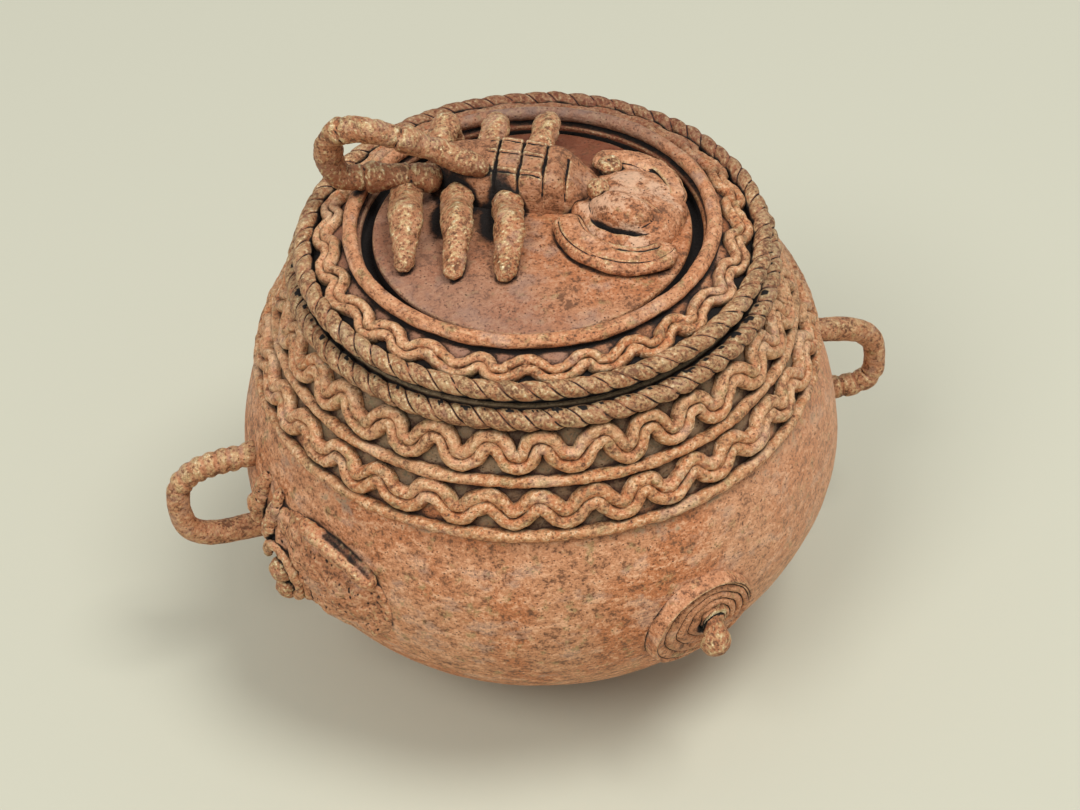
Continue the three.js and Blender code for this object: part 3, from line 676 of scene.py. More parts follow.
def patina(name, wear, red, pale, shade_and_grime=1.0, dark=0.0, seed=0.0, side_tints=()):
    """Copper-brown cast metal: blotched and flecked, darkened with grime and painted shade in its
    hollows and grooves, brassy where worn, with painted glints on the brass and tints laid on chosen
    sides.
    """
    s = Shader(name + "_skin")
    place = s.node("ShaderNodeTexCoord", {}, "Object")
    skin = s.node("ShaderNodeMapping", {"Vector": place, "Location": (seed, seed * 0.6, 0),
                                        "Scale": (1 / MM, 1 / MM, 1 / MM)})
    lying = s.node("ShaderNodeMapping", {"Vector": skin, "Scale": (0.75, 0.75, 1.25)})
    broad = s.noise(skin, 0.05, 3.0, 0.55)
    patch = s.noise(skin, 0.31, 3.0, 0.6)
    cloud = s.noise(lying, 0.17, 4.0, 0.6)
    mottle = s.noise(lying, 0.5, 4.0, 0.65)
    grain = s.noise(skin, 1.5, 4.0, 0.7)
    cells = s.node("ShaderNodeTexVoronoi", {"Vector": skin, "Scale": 1.1}, "Distance")
    hollow = s.attribute("hollow")
    raised = s.attribute("raised")

    colour = s.mix(broad.step(-0.06, 0.10) * red, COPPER, CLAY_RED)
    colour = s.mix(cloud.step(0.03, 0.16) * 0.75, colour, ROSE_GREY)
    colour = s.mix(patch.step(0.06, 0.20) * 0.7, colour, OLIVE)
    value = grain * 1.5 + mottle * 1.6 + cloud * 0.6
    colour = s.mix((value.step(0.0, 0.34) * (0.45 + pale)).held(), colour, PALE)
    colour = s.mix(((0 - value).step(0.0, 0.36) * 0.95 + dark).held(), colour, UMBER)
    dulled = 0.0
    for side_tint in side_tints:
        distance = s.node("ShaderNodeVectorMath", {0: place, 1: side_tint.direction}, "Value",
                          operation="DOT_PRODUCT")
        edge = distance + cloud * 30 + mottle * 14 + grain * 12
        share = edge.step(side_tint.begin, side_tint.full) * side_tint.strength
        colour = s.mix(share, colour, side_tint.colour)
        dulled = share * side_tint.dulls + dulled
    pits = (1 - cells.step(0.08, 0.26)) * mottle.step(-0.06, 0.08)
    specks = (0 - grain).step(0.08, 0.20)
    colour = s.mix((pits * 0.75 + specks * 0.75).held(), colour, DARK_EARTH)

    # Grime and painted shade: dark brown, then near black, in hollows that nearby metal closes in and
    # in grooves
    dirt_and_shade = (hollow + grain * 0.35 + mottle * 0.45).step(0.26, 0.74) * shade_and_grime
    groove = (0 - raised + grain * 0.12).step(0.05, 0.2) * shade_and_grime
    dirt_and_shade = (dirt_and_shade + groove * 0.75).held()
    colour = s.mix(dirt_and_shade.step(0.0, 0.55), colour, DARK_EARTH)
    colour = s.mix(dirt_and_shade.step(0.45, 0.95), colour, GRIME_SHADE_BLACK)

    worn = raised + mottle * 0.18 + grain * 0.42
    bared = wear * (1 - dirt_and_shade) * (1 - dulled)
    rub = worn.step(0.06, 0.22) * bared
    # Glints are painted highlights on the worn brass
    glint = (worn + grain * 0.6).step(0.22, 0.36) * bared
    colour = s.mix(rub.held(), colour, BRASS)
    colour = s.mix(glint.held(), colour, GLINT)

    rough = (0.58 - rub * 0.32 + dirt_and_shade * 0.25 + grain * 0.5).held()
    metal = (0.15 + rub * 0.5 - dirt_and_shade * 0.15).held()
    height = mottle * 0.9 + grain * 0.7 - pits * 0.4
    bump = {"Height": height, "Strength": 0.9, "Distance": 0.6 * MM}
    inputs = {"Base Color": colour, "Roughness": rough, "Metallic": metal,
              "Normal": s.node("ShaderNodeBump", bump, "Normal"), "Specular IOR Level": 0.5}
    return s.finish(s.node("ShaderNodeBsdfPrincipled", inputs))


# Beyond the scorpion the bands, ropes, lid and ring turn darker and redder and their brass is dulled:
# painted shade on the far side
BEYOND_SCORPION = (-sin(SCORPION_HEADING), cos(SCORPION_HEADING), 0)
FAR_SIDE_SHADE = SideTint(FAR_SHADE_RED, BEYOND_SCORPION, 12, 42, 0.7, 0.8)

# The belly's right side is lightened with a sandy tint: painted light from the right
POT_SKIN = patina("pot", wear=0.3, shade_and_grime=0.75, red=0.8, pale=0.55,
                  side_tints=[SideTint(SANDY, (1, -0.3, 0), 15, 65, 0.35),
                          SideTint(GREEN_GREY, (0, 0, 1), SHOULDER_FOOT - 1, SHOULDER_FOOT + 5, 0.7)])
BAND_SKIN = patina("band", wear=0.32, shade_and_grime=0.6, red=0.8, pale=0.75, seed=11, side_tints=[FAR_SIDE_SHADE])
ROPE_SKIN = patina("rope", wear=0.55, shade_and_grime=1.4, dark=0.5, red=0.6, pale=0.3, seed=23,
                   side_tints=[FAR_SIDE_SHADE])
# The lid's deeper rust-red far side is painted shade
LID_SKIN = patina("lid", wear=0.25, shade_and_grime=1.3, dark=0.2, red=0.75, pale=0.35, seed=37,
                  side_tints=[SideTint(MAUVE, (-1, -0.4, 0), 0, 26, 0.55),
                          SideTint(FAR_SHADE_RED, BEYOND_SCORPION, 14, 24, 0.85)])
# The ring's purple-grey far side is painted shade
RING_SKIN = patina("ring", wear=0.3, red=0.4, pale=0.3, seed=83,
                   side_tints=[SideTint(PURPLE_GREY, BEYOND_SCORPION, 18, 40, 0.7)])
SCORPION_SKIN = patina("scorpion", wear=0.5, shade_and_grime=1.2, red=0.35, pale=0.4, dark=0.4, seed=41)
# The head and snout turn pale pink-cream towards their top: painted light on the upper faces
HEAD_SKIN = patina("head", wear=0.5, shade_and_grime=1.2, red=0.6, pale=0.45, dark=0.15, seed=47,
                   side_tints=[SideTint(PINK_CREAM, (0, 0, 1), MEDALLION_EDGE + 3, MEDALLION_EDGE + 8, 0.7)])
CLAW_SKIN = patina("claw", wear=0.75, shade_and_grime=1.3, red=0.4, pale=0.7, dark=0.1, seed=43)
# The tail turns darker tawny towards its lower parts: rust, and painted shade under light from above
TAIL_SKIN = patina("tail", wear=0.7, shade_and_grime=1.3, red=0.55, pale=0.35, dark=0.4, seed=59,
                   side_tints=[SideTint(TAWNY, (0, 0, -1), -116, -106, 0.8)])
LIMB_SKIN = patina("limb", wear=0.75, shade_and_grime=1.2, red=0.55, pale=0.4, dark=0.3, seed=53)
HANDLE_SKIN = patina("handle", wear=0.7, shade_and_grime=1.2, red=0.2, pale=0.5, dark=0.25, seed=61)
FIGURE_SKIN = patina("figure", wear=0.35, shade_and_grime=1.2, red=0.6, pale=0.5, dark=0.06, seed=71)
RELIEF_SKIN = patina("relief", wear=0.6, shade_and_grime=1.5, red=0.4, pale=0.5, dark=0.12, seed=73)


# Pot

def pot_outline():
    """The belly from its base up, over the lip and down the inside."""
    stations = 44
    lower = [EQUATOR * sin(pi / 2 * i / stations) for i in range(stations + 1)]
    upper = [EQUATOR + (SHOULDER_FOOT - EQUATOR) * i / 24 for i in range(1, 25)]
    arc = [Vector((belly_outside(height), height)) for height in lower + upper]
    inner = [point + Vector((-WALL, 0)) for point in arc if point.y > 8]
    floor = WALL * 1.2
    base = rounded([(0, 0), arc[0], arc[1]], 1.2)
    rim = rounded([arc[-1], (RIM_SEAT_RADIUS, RIM_SEAT), (LIP_RADIUS, RIM_SEAT),
                   (LIP_RADIUS, LIP_HEIGHT), (MOUTH_RADIUS, LIP_HEIGHT),
                   (MOUTH_RADIUS, RIM_SEAT - WALL), inner[-1]], 0.8)
    bowl = rounded([inner[0], (inner[0].x * 0.8, floor), (0, floor)], 4.0)
    return (stepped(base, 2.5) + arc[2:-1] + stepped(rim, 0.8) + stepped(inner[::-1], 3)
            + stepped(bowl, 3))


def pot_shell():
    mesh = turned(pot_outline(), 360)
    for vert in mesh.verts:
        if vert.co.xy.length > belly_outside(vert.co.z) - 1 and 2 < vert.co.z < SHOULDER_FOOT + 1.1:
            inward = Vector((-vert.co.x, -vert.co.y, 0)).normalized()
            broad = noise.fractal(vert.co / 26, 0.9, 2, 2) * 0.35
            fine = noise.fractal(vert.co / 3.2, 0.8, 2, 2) * 0.06
            vert.co += inward * max(0, 0.2 + broad + fine)
    finished("pot_shell", mesh, POT_SKIN)


def thread(slope, start, seed):
    """A thread laid round the slope, thicker here and thinner there."""
    middle = start + THREAD_WIDTH / 2

    def place(turn):
        waver = wavering(turn, seed)
        return slope.around(turn, middle + 0.35 * waver(3) + 0.12 * waver(22), 0.25)

    def section(turn, angle):
        waver = wavering(turn, seed + 9)
        full = 1 + 0.16 * waver(7) + 0.08 * waver(31)
        rise = sin(angle)
        tall = THREAD_RISE * 0.92 if rise > 0 else 0.4
        return THREAD_WIDTH / 2 * cos(angle) * full, tall * rise * full

    return hand_worked(cord_ring(600, 14, place, section), 0.16, 2.4, seed)


def wave_strand(slope, start, width, waves, strand, rise, side_of_pair, seed):
    """One of the two strands that lie side by side in waves round the slope."""
    middle = start + width / 2
    swing = (width - 2 * strand) / 2
    radius = slope.at(middle).x

    def path(turn):
        waver = wavering(turn, seed)
        phase = waves * turn + 1.1 * waver(4.3) + 0.5 * waver(17)
        reach = swing * (1.28 + 0.4 * waver(9.7))
        lean = -0.2 * sin(2 * phase) / radius
        return Vector(((turn + lean) * radius, middle + reach * sin(phase) + 0.35 * waver(2.9)))

    def place(turn):
        ahead = (path(turn + 0.004) - path(turn - 0.004)).normalized()
        normal = (Vector((-ahead.y, ahead.x)) * 0.8 + Vector((0, 0.2))).normalized()
        spot = path(turn) + normal * side_of_pair * strand * STRAND_ASIDE
        angle = spot.x / radius
        point, up, out = slope.around(angle, spot.y, SEAT_GAP)
        around = Vector((-sin(angle), cos(angle), 0))
        return point, around * normal.x + up * normal.y, out

    def section(turn, angle):
        waver = wavering(turn, seed + side_of_pair * 5)
        full = 1 + 0.14 * waver(13) + 0.07 * waver(47)
        lift = sin(angle)
        tall = (rise - SEAT_GAP) * (0.96 + 0.12 * waver(8)) if lift > 0 else 0.5
        return strand * STRAND_HALF * cos(angle) * full, tall * copysign(abs(lift) ** 0.8, lift)

    return cord_ring(waves * 22, 12, place, section)


def joined(*meshes):
    """Several blanks as one piece."""
    whole = bmesh.new()
    for mesh in meshes:
        part = data_from(mesh, "part")
        whole.from_mesh(part)
        bpy.data.meshes.remove(part)
    return whole


def wave_band(name, slope, start, width, waves, strand, rise, seed):
    """Two strands laid side by side in waves."""
    strands = [wave_strand(slope, start, width, waves, strand, rise, side, seed)
               for side in (-1, 1)]
    finished(name, hand_worked(joined(*strands), 0.22, 2.2, seed), BAND_SKIN)


def rope(cord, marks, seed):
    """Two threads twisted together and laid round as a rope."""
    def place(turn):
        waver = wavering(turn, seed)
        return level_ring(turn, cord.radius + 0.14 * waver(4) - 0.1,
                          cord.height + 0.14 * waver(3, 7))

    def section(turn, angle):
        waver = wavering(turn, seed + 3)
        lobe = abs(cos(angle + marks * turn / 2 + 0.5 * waver(9)))
        size = cord.half * (0.72 + 0.3 * lobe ** 0.5) * (1 + 0.06 * waver(21))
        return size * cos(angle), size * sin(angle)

    return hand_worked(cord_ring(marks * 11, 24, place, section), 0.16, 2.2, seed)


def pot_bands():
    """Two threads, two bands of waves and the rim's rope, from the shoulder's foot up."""
    rope_start = SHOULDER.beside_rope(RIM_ROPE, STRAND_RISE)[0]
    room = min(SHOULDER.length, rope_start) - 2 * THREAD_WIDTH - 4 * SEAT_GAP
    strand = room * STRAND_SHARE
    lower_start = THREAD_WIDTH + SEAT_GAP
    lower_width = room * LOWER_BAND_SHARE
    middle_start = lower_start + lower_width + SEAT_GAP
    upper_start = middle_start + THREAD_WIDTH + SEAT_GAP
    for name, start, seed in (("lower_thread", 0, 2), ("middle_thread", middle_start, 5)):
        finished(name, thread(SHOULDER, start, seed), BAND_SKIN)
    for name, start, width, waves, seed in (
            ("lower_wave_band", lower_start, lower_width, LOWER_WAVES, 1.3),
            ("upper_wave_band", upper_start, room - lower_width, UPPER_WAVES, 4.7)):
        wave_band(name, SHOULDER, start, width, waves, strand, STRAND_RISE, seed)
    finished("rim_rope", rope(RIM_ROPE, RIM_ROPE_MARKS, 8), ROPE_SKIN)


def loop_handle(name, side, height, sag, wraps):
    """A bent rod with both feet in the belly, wrapped where it was bound."""
    low, high = corners_of(name)
    reach = (high.x if side > 0 else -low.x) - HANDLE_HALF - BELLY_RADIUS
    foot = side * (BELLY_RADIUS - 4)
    power = 2 / HANDLE_SQUARENESS
    points = [(foot, 0, EQUATOR + height / 2)]
    for i in range(11):
        angle = pi / 2 - pi * i / 10
        out = reach * abs(cos(angle)) ** power
        up = height / 2 * copysign(abs(sin(angle)) ** power, sin(angle))
        points.append((side * (BELLY_RADIUS + out), 0.5 * sin(3 * angle),
                       EQUATOR + up - sag * out / reach))
    points.append((foot, 0, EQUATOR - height / 2))

    def groove(share, angle):
        depth = sum(0.13 * mark(share - wrap + 0.006 * sin(angle), 0.011) for wrap in wraps)
        return 1 - depth + 0.05 * noise.noise(Vector((share * 14, cos(angle), sin(angle) + side)))

    mesh = rod(points, lambda share: HANDLE_HALF * (0.97 + 0.05 * sin(9 * share)), 150, 24, groove)
    finished(name, hand_worked(mesh, 0.12, 2.5, side), HANDLE_SKIN)


def on_belly(azimuth, height):
    """A frame on the belly: x runs round it, y up it and z out of it."""
    slope = Vector((belly_outside(height + 0.5) - belly_outside(height - 0.5), 1)).normalized()
    around = Vector((-sin(azimuth), cos(azimuth), 0))
    up = at_turn(azimuth, slope.x, slope.y)
    place = Matrix((around, up, around.cross(up))).transposed().to_4x4()
    place.translation = at_turn(azimuth, belly_outside(height), height)
    return place


def laid_on_belly(place, x, y, rise):
    """The point above the belly's own surface at x and y of a frame on it."""
    spot = place @ Vector((x, y, 0))
    surface = belly_outside(spot.z) / spot.xy.length
    return Vector((spot.x * surface, spot.y * surface, spot.z)) + place.col[2].xyz * rise


def coil_share(x, y):
    """0 at the boss's stem and 1 at its rim, along turns that crowd towards one side."""
    spot = Vector((x, y)) - COIL_CENTRE
    room = BOSS_RADIUS ** 2 - COIL_CENTRE.length_squared
    lean = spot.dot(COIL_CENTRE)
    return (lean + sqrt(lean ** 2 + room * spot.length_squared)) / room


def boss():
    """A disc coiled from one thread, with a rim that is stoutest at its upper left, and a ball on a
    leaning stem."""
    place = on_belly(BOSS_AZIMUTH, BOSS_HEIGHT)

    def lay(x, y, top):
        if not top:
            return laid_on_belly(place, x, y, -1.2)
        turn = atan2(y - COIL_CENTRE.y, x - COIL_CENTRE.x)
        share = coil_share(x, y)
        wander = 0.03 * wavering(turn, share)(2)
        coil = abs(sin(pi * (COIL_TURNS * (share + wander) + turn / (2 * pi))))
        upper_left = 0.55 + 0.45 * cos(turn - radians(140))
        rise = 1.0 + 0.8 * coil ** 0.55 * step_up(0.9, 0.85, share)
        rise += (BOSS_RISE - 1.2) * upper_left * mark(share - 0.93, 0.05)
        rise -= (rise + 0.5) * step_up(0.965, 0.995, share)
        rise += 0.1 * noise.fractal(Vector((x, y, 5)) / 2.2, 0.8, 2, 2)
        return laid_on_belly(place, x, y, rise)

    disc = lens(2 * BOSS_RADIUS, 2 * BOSS_RADIUS, lay, 90, 190)
    finished("boss_coil", disc, FIGURE_SKIN)
    outline = [Vector((0, -1)), Vector((NUB_STEM * 1.25, -1)), Vector((NUB_STEM * 1.05, 2)),
               Vector((NUB_STEM * 0.86, NUB_REACH - NUB_BALL * 1.05))]
    for i in range(1, 13):
        angle = pi * (0.78 - 0.78 * i / 12)
        outline.append(Vector((NUB_BALL * sin(angle), NUB_REACH + NUB_BALL * cos(angle))))
    outline[-1].x = 0
    nub = turned(stepped(outline, 0.6), 44)
    for vert in nub.verts:
        vert.co += Vector((*(COIL_CENTRE * step_up(NUB_REACH, 0, vert.co.z)), 0))
    bmesh.ops.transform(nub, matrix=place, verts=nub.verts)
    finished("boss_nub", hand_worked(nub, 0.22, 1.8, 4), LIMB_SKIN)


def on_relief(x, y, rise):
    return laid_on_belly(on_belly(RELIEF_AZIMUTH, RELIEF_HEIGHT), x, y, rise)


def relief_plaque():
    """A rough low swelling, with a lip at its lower end and fine lines drawn round the nubs."""
    def lay(x, y, top):
        if not top:
            return on_relief(x, y, -1.0)
        edge = hypot(2 * x / RELIEF_LENGTH, 2 * y / RELIEF_WIDTH)
        wander = 0.12 * noise.noise(Vector((x, y, 6)) / 5)
        rise = RELIEF_RISE * (1 - step_up(0.35, 1.0, edge + wander))
        rise -= 0.3 * step_up(0.97, 1.0, edge)
        rise += 0.9 * noise.fractal(Vector((x, y, 2)) / 4, 0.9, 2, 3)
        rise += 1.4 * hump(x - RELIEF_LENGTH * 0.38, y + RELIEF_WIDTH * 0.24, 6, 2.2)
        rise += 0.7 * hump(x + RELIEF_LENGTH * 0.18, y - RELIEF_WIDTH * 0.32, 7, 2)
        from_nubs = hypot(x + RELIEF_LENGTH * 0.2, y + RELIEF_WIDTH * 0.14)
        lines = abs(sin(from_nubs * 1.5 + wander * 8)) ** 0.6 - 0.8
        rise += 0.6 * lines * step_up(13, 10, from_nubs) * step_up(-8, -3, x)
        rise = rise * step_up(1.0, 0.9, edge) - 0.7 * step_up(0.9, 1.0, edge)
        return on_relief(x, y, rise)

    plaque = lens(RELIEF_LENGTH, RELIEF_WIDTH, lay, 80, 220)
    finished("relief_plaque", plaque, RELIEF_SKIN)


def relief_ridge():
    """A curled fold: a channel along its upper side and a raised lip beside it."""
    points = []
    for share in (-0.1, 0.05, 0.18, 0.3, 0.4):
        out = RELIEF_WIDTH / 2 * sqrt(1 - (2 * share) ** 2) * 0.88
        points.append(on_relief(share * RELIEF_LENGTH, out, 0.9))

    def groove(share, angle):
        channel = 0.36 * mark(angle - pi * 0.5, 0.75)
        return 1 - channel * step_up(0.25, 0.36, share) * step_up(0.97, 0.9, share)

    ridge = rod(points, lambda share: (2.5 * (0.7 + 0.3 * sin(pi * share)), 2.0), 110, 32, groove)
    finished("relief_ridge", hand_worked(ridge, 0.3, 3.2, 2), RELIEF_SKIN)


def relief_coil():
    points = []
    for i in range(12):
        angle = radians(-70 + 250 * i / 11)
        points.append(on_relief(-RELIEF_LENGTH * 0.2 + 6 * cos(angle),
                                -RELIEF_WIDTH * 0.12 + 6 * sin(angle), RELIEF_RISE + 0.3))
    coil = rod(points, lambda share: 1.1 + 0.15 * sin(17 * share), 90, 14)
    finished("relief_coil", hand_worked(coil, 0.35, 1.8, 6), FIGURE_SKIN)


def relief_nubs():
    for name, drop in (("relief_nub_upper", 0), ("relief_nub_lower", 5.6)):
        y = -0.06 * RELIEF_WIDTH - drop
        centre = on_relief(-RELIEF_LENGTH * 0.2 + 0.8, y, RELIEF_RISE + 0.6)
        finished(name, hand_worked(ball(centre, 2.75), 0.3, 2, 3 + y), LIMB_SKIN)


def relief_prongs():
    for name, distance in (("relief_prong_long", 22.8), ("relief_prong_short", 16)):
        azimuth = RELIEF_AZIMUTH - distance / BELLY_RADIUS
        points = []
        for share in (0, 0.35, 0.7, 1):
            level = 47 + 15 * share
            reach = belly_outside(level) + 0.6 - 0.5 * share
            points.append(at_turn(azimuth + radians(3 * share), reach, level))
        leaf = rod(points, lambda share: 2.5 * (1 - 0.5 * share ** 2), 80, 26)
        finished(name, hand_worked(leaf, 0.7, 3.4, distance), RELIEF_SKIN)


# Lid

def medallion_height(radius):
    return MEDALLION_EDGE + MEDALLION_RISE * (1 - (radius / MEDALLION_RADIUS) ** 2)


def lid_plate():
    stations = [MEDALLION_RADIUS * i / 30 for i in range(30)]
    dome = [Vector((radius, medallion_height(radius))) for radius in stations]
    collar_inner = COLLAR_RADIUS - COLLAR_WALL
    collar_foot = FLANGE_BOTTOM - COLLAR_DEPTH
    top = MEDALLION_EDGE + MEDALLION_RISE
    edge = rounded([dome[-1], (MEDALLION_RADIUS, MEDALLION_EDGE),
                    (MEDALLION_RADIUS + 0.2, MOAT_FLOOR), (MOAT_OUTER - 0.1, MOAT_FLOOR),
                    (MOAT_OUTER, RING_SEAT), (RING_SEAT_OUTER, RING_SEAT),
                    (CROWN_FOOT_RADIUS, CROWN_FOOT), (CROWN_FOOT_RADIUS, FLANGE_TOP),
                    (FLANGE_RADIUS, FLANGE_TOP), (FLANGE_RADIUS, FLANGE_BOTTOM),
                    (COLLAR_RADIUS, FLANGE_BOTTOM), (COLLAR_RADIUS, collar_foot),
                    (collar_inner, collar_foot), (collar_inner, MOAT_FLOOR - LID_WALL - 0.4),
                    (MEDALLION_RADIUS, MOAT_FLOOR - LID_WALL),
                    (MEDALLION_RADIUS * 0.5, top - LID_WALL * 1.8), (0, top - LID_WALL * 1.6)], 0.6)
    mesh = turned(dome[:-1] + stepped(edge, 1.2), 240)
    for vert in mesh.verts:
        if vert.co.z > MEDALLION_EDGE - 1 and vert.co.xy.length < MEDALLION_RADIUS + 0.5:
            vert.co.z += 0.25 * noise.fractal(vert.co / 9, 0.9, 2, 3) - 0.15
    finished("lid_plate", mesh, LID_SKIN)


def medallion_ring():
    """A plain ring with a line scored along its outer side."""
    def place(turn):
        waver = wavering(turn, 3.3)
        return level_ring(turn, RING.radius + 0.25 * waver(3), RING.height - 0.1 + 0.1 * waver(5))

    def section(turn, angle):
        waver = wavering(turn, 8.8)
        size = RING.half * (1 + 0.1 * waver(8) + 0.05 * waver(33) - 0.12 * mark(angle - 0.75, 0.22))
        return size * 1.05 * cos(angle), size * sin(angle)

    finished("medallion_ring", cord_ring(420, 26, place, section), RING_SKIN)


def lid_bands():
    """The lid's band of waves and the rope at its edge."""
    strand = (CROWN.length - SEAT_GAP) * LID_STRAND_SHARE
    rope_stop = CROWN.beside_rope(LID_ROPE, LID_STRAND_RISE)[1]
    start = max(SEAT_GAP, rope_stop - strand * STRAND_ASIDE)
    wave_band("lid_wave_band", CROWN, start, CROWN.length - SEAT_GAP - start, LID_WAVES, strand,
              LID_STRAND_RISE, 7.9)
    finished("lid_rope", rope(LID_ROPE, LID_ROPE_MARKS, 14), ROPE_SKIN)


# Scorpion

def posed(mesh):
    bmesh.ops.transform(mesh, matrix=SCORPION_TURN, verts=mesh.verts)
    return mesh


def on_medallion(x, y, half):
    """A place on the medallion for a rod this thick, kept inside the moat."""
    spot = Vector((x, y))
    limit = MEDALLION_RADIUS - half - 0.3
    if spot.length > limit:
        spot = spot * (limit / spot.length)
    return Vector((spot.x, spot.y, medallion_height(spot.length) + half * 0.7))


# Where the back is cut across, rear to front, and where it is lined along
BACK_CUTS = (-9.2, -4.2, 0.8, 5.4)
BACK_LINES = (-3.6, 2.0, 6.2)


def back_depth(x, y):
    """How deep the cuts and lines go at a place on the back."""
    wander = 0.3 * noise.noise(Vector((y / 4, x / 9, 1)))
    *cuts, last = BACK_CUTS
    depth = sum(1.2 * mark(x - cut + wander + 0.12 * y, 0.3) for cut in cuts)
    depth += mark(x - last + 0.12 * y, 0.3) * step_up(4.8, 4.2, abs(y))
    fade = step_up(-13, -10, x) * step_up(cuts[-1] + 0.6, cuts[-1] - 0.4, x)
    for line in BACK_LINES:
        aside = y - line + 0.3 * wander
        depth += fade * (0.5 * mark(aside, 0.22) - 0.28 * mark(aside - 0.55, 0.35))
    return depth


def scorpion_body():
    """A low arched slab, cut across and lined along, that slopes down to the head."""
    front = BACK_FRONT + 3
    floor = MEDALLION_EDGE - 1
    middle = 0.5 * (BACK_REAR + front)
    mesh = rod([(x, SPINE, 0) for x in (BACK_REAR, middle, front)], lambda share: 1.0, 210, 160)
    for vert in mesh.verts:
        x, across, over = vert.co.x, vert.co.y - SPINE, vert.co.z
        size = hypot(across, over)
        turn = atan2(over, across)
        fullness = sin(pi * (0.16 + 0.6 * (x - BACK_REAR) / (BACK_FRONT - BACK_REAR)))
        top = MEDALLION_EDGE + 1.4 + BACK_HEIGHT * (0.6 + 0.4 * fullness) - 4.4 * step_up(3, 11, x)
        height = size * (1 - abs(cos(turn)) ** 5) ** 0.4 if over > 0 else 0
        y = BACK_HALF * fullness * size * cos(turn)
        y = (1.4 + y * (1.06 if y > 0 else 0.88)) * (1 + 0.1 * (1 - height))
        depth = back_depth(x, y) if over > 0 else 0.0
        vert.co = Vector((x, SPINE + y, floor + (top - floor) * height - depth))
    hand_worked(faced_out(mesh), 0.3, 4, 8)
    finished("scorpion_body", posed(mesh), SCORPION_SKIN)


def scorpion_leg(side, row):
    """Out from under the back, sharply over the knee and down to a blunt foot."""
    near = side < 0
    name = f"scorpion_leg_{'near' if near else 'far'}_{('rear', 'middle', 'front')[row]}"
    x = FIRST_LEG + LEG_PITCH * row
    knee = 18.6 - 1.4 * row if near else 13.4 + 2.6 * row
    reach, shift = ((29.6, 30.4, 29.2)[row], 2) if near else (knee + 4.5, -1)
    foot = on_medallion(x + shift, SPINE + side * reach, 1.7)
    top = MEDALLION_EDGE + (9.2 if near else 10) - LEG_HALF
    bend = Vector((x, SPINE + side * knee, top))
    sweep = -3.6 if near else 0.5
    points = [(x + sweep, SPINE + side * 4, MEDALLION_EDGE + 4.4),
              (x + 0.6 * sweep, SPINE + side * 0.62 * knee, top - (2.2 if near else 0.6)),
              (x + 0.2 * sweep, SPINE + side * 0.9 * knee, top)]
    for ahead, drop in ((0.16, 0.16), (0.5, 0.55), (0.8, 0.85)):
        points.append((*bend.lerp(foot, ahead).xy, bend.z * (1 - drop) + foot.z * drop))

    def half(share):
        knee_swell = 0.3 * mark(share - 0.56, 0.1)
        width = LEG_HALF * (0.95 + 0.07 * sin(5 * share + row)) + knee_swell - 1.1 * share ** 4
        return width * (1.16 if near else 1.06), width * 0.92

    def groove(share, angle):
        facet = 0.045 * cos(4 * angle + 0.5 * row)
        nail = 0.06 * mark(share - 0.86 + 0.01 * cos(angle), 0.012)
        return 1 + facet - nail

    mesh = hand_worked(rod([*points, foot], half, 110, 28, groove), 0.32, 2.6, row + side)
    finished(name, posed(mesh), LIMB_SKIN)


def scorpion_tail():
    """A jointed rod that leaves the back low, turns up and over, and lies down on the back."""
    low = RING.height + RING.half + 3.3
    rise = 14.2
    reach = TAIL_REACH
    top = low + rise
    back = MEDALLION_EDGE + BACK_HEIGHT
    points = [(BACK_REAR + 4, SPINE - 3.4, low - 1.2), (BACK_REAR - 2, 4.2, low - 0.4),
              (-0.75 * reach, 2.2, low), (-0.89 * reach, 0.4, low + 0.8),
              (-reach + 3, 0, low + 0.45 * rise), (-0.89 * reach, -0.6, top - 2),
              (-0.76 * reach, -0.4, top - 0.4), (-0.6 * reach, 2, top - 3.4),
              (-0.45 * reach, 4.6, low + 0.48 * rise), (-0.34 * reach, 5.2, back + 2.4),
              (-0.22 * reach, 5.2, back + 0.9)]

    def groove(share, angle):
        joints = (0.1, 0.24, 0.53, 0.7)
        return 1 - sum(0.2 * mark(share - joint - 0.004 * cos(angle), 0.008) for joint in joints)

    def half(share):
        swell = 0.07 * sin(37 * share) + 0.06 * sin(61 * share + 1)
        return (3.05 - 0.6 * share) * (1 + swell)

    mesh = hand_worked(rod(points, half, 240, 28, groove), 0.3, 2.4, 12)
    finished("scorpion_tail", posed(mesh), TAIL_SKIN)


def snout_place(spot):
    """How far along the snout and across it a spot lies."""
    x, y = spot.x - HEAD_X, spot.y - SNOUT_Y
    return (x * cos(SNOUT_TURN) + y * sin(SNOUT_TURN),
            y * cos(SNOUT_TURN) - x * sin(SNOUT_TURN))


def furrow(long, cross):
    """The deep furrow under the snout, 1 at its middle."""
    return mark(cross + 5.4 - 0.05 * long ** 2, 0.55) * step_up(7.6, 3, abs(long - 0.5))


# The head reaches further on its near side
NEAR_STRETCH = 1.15


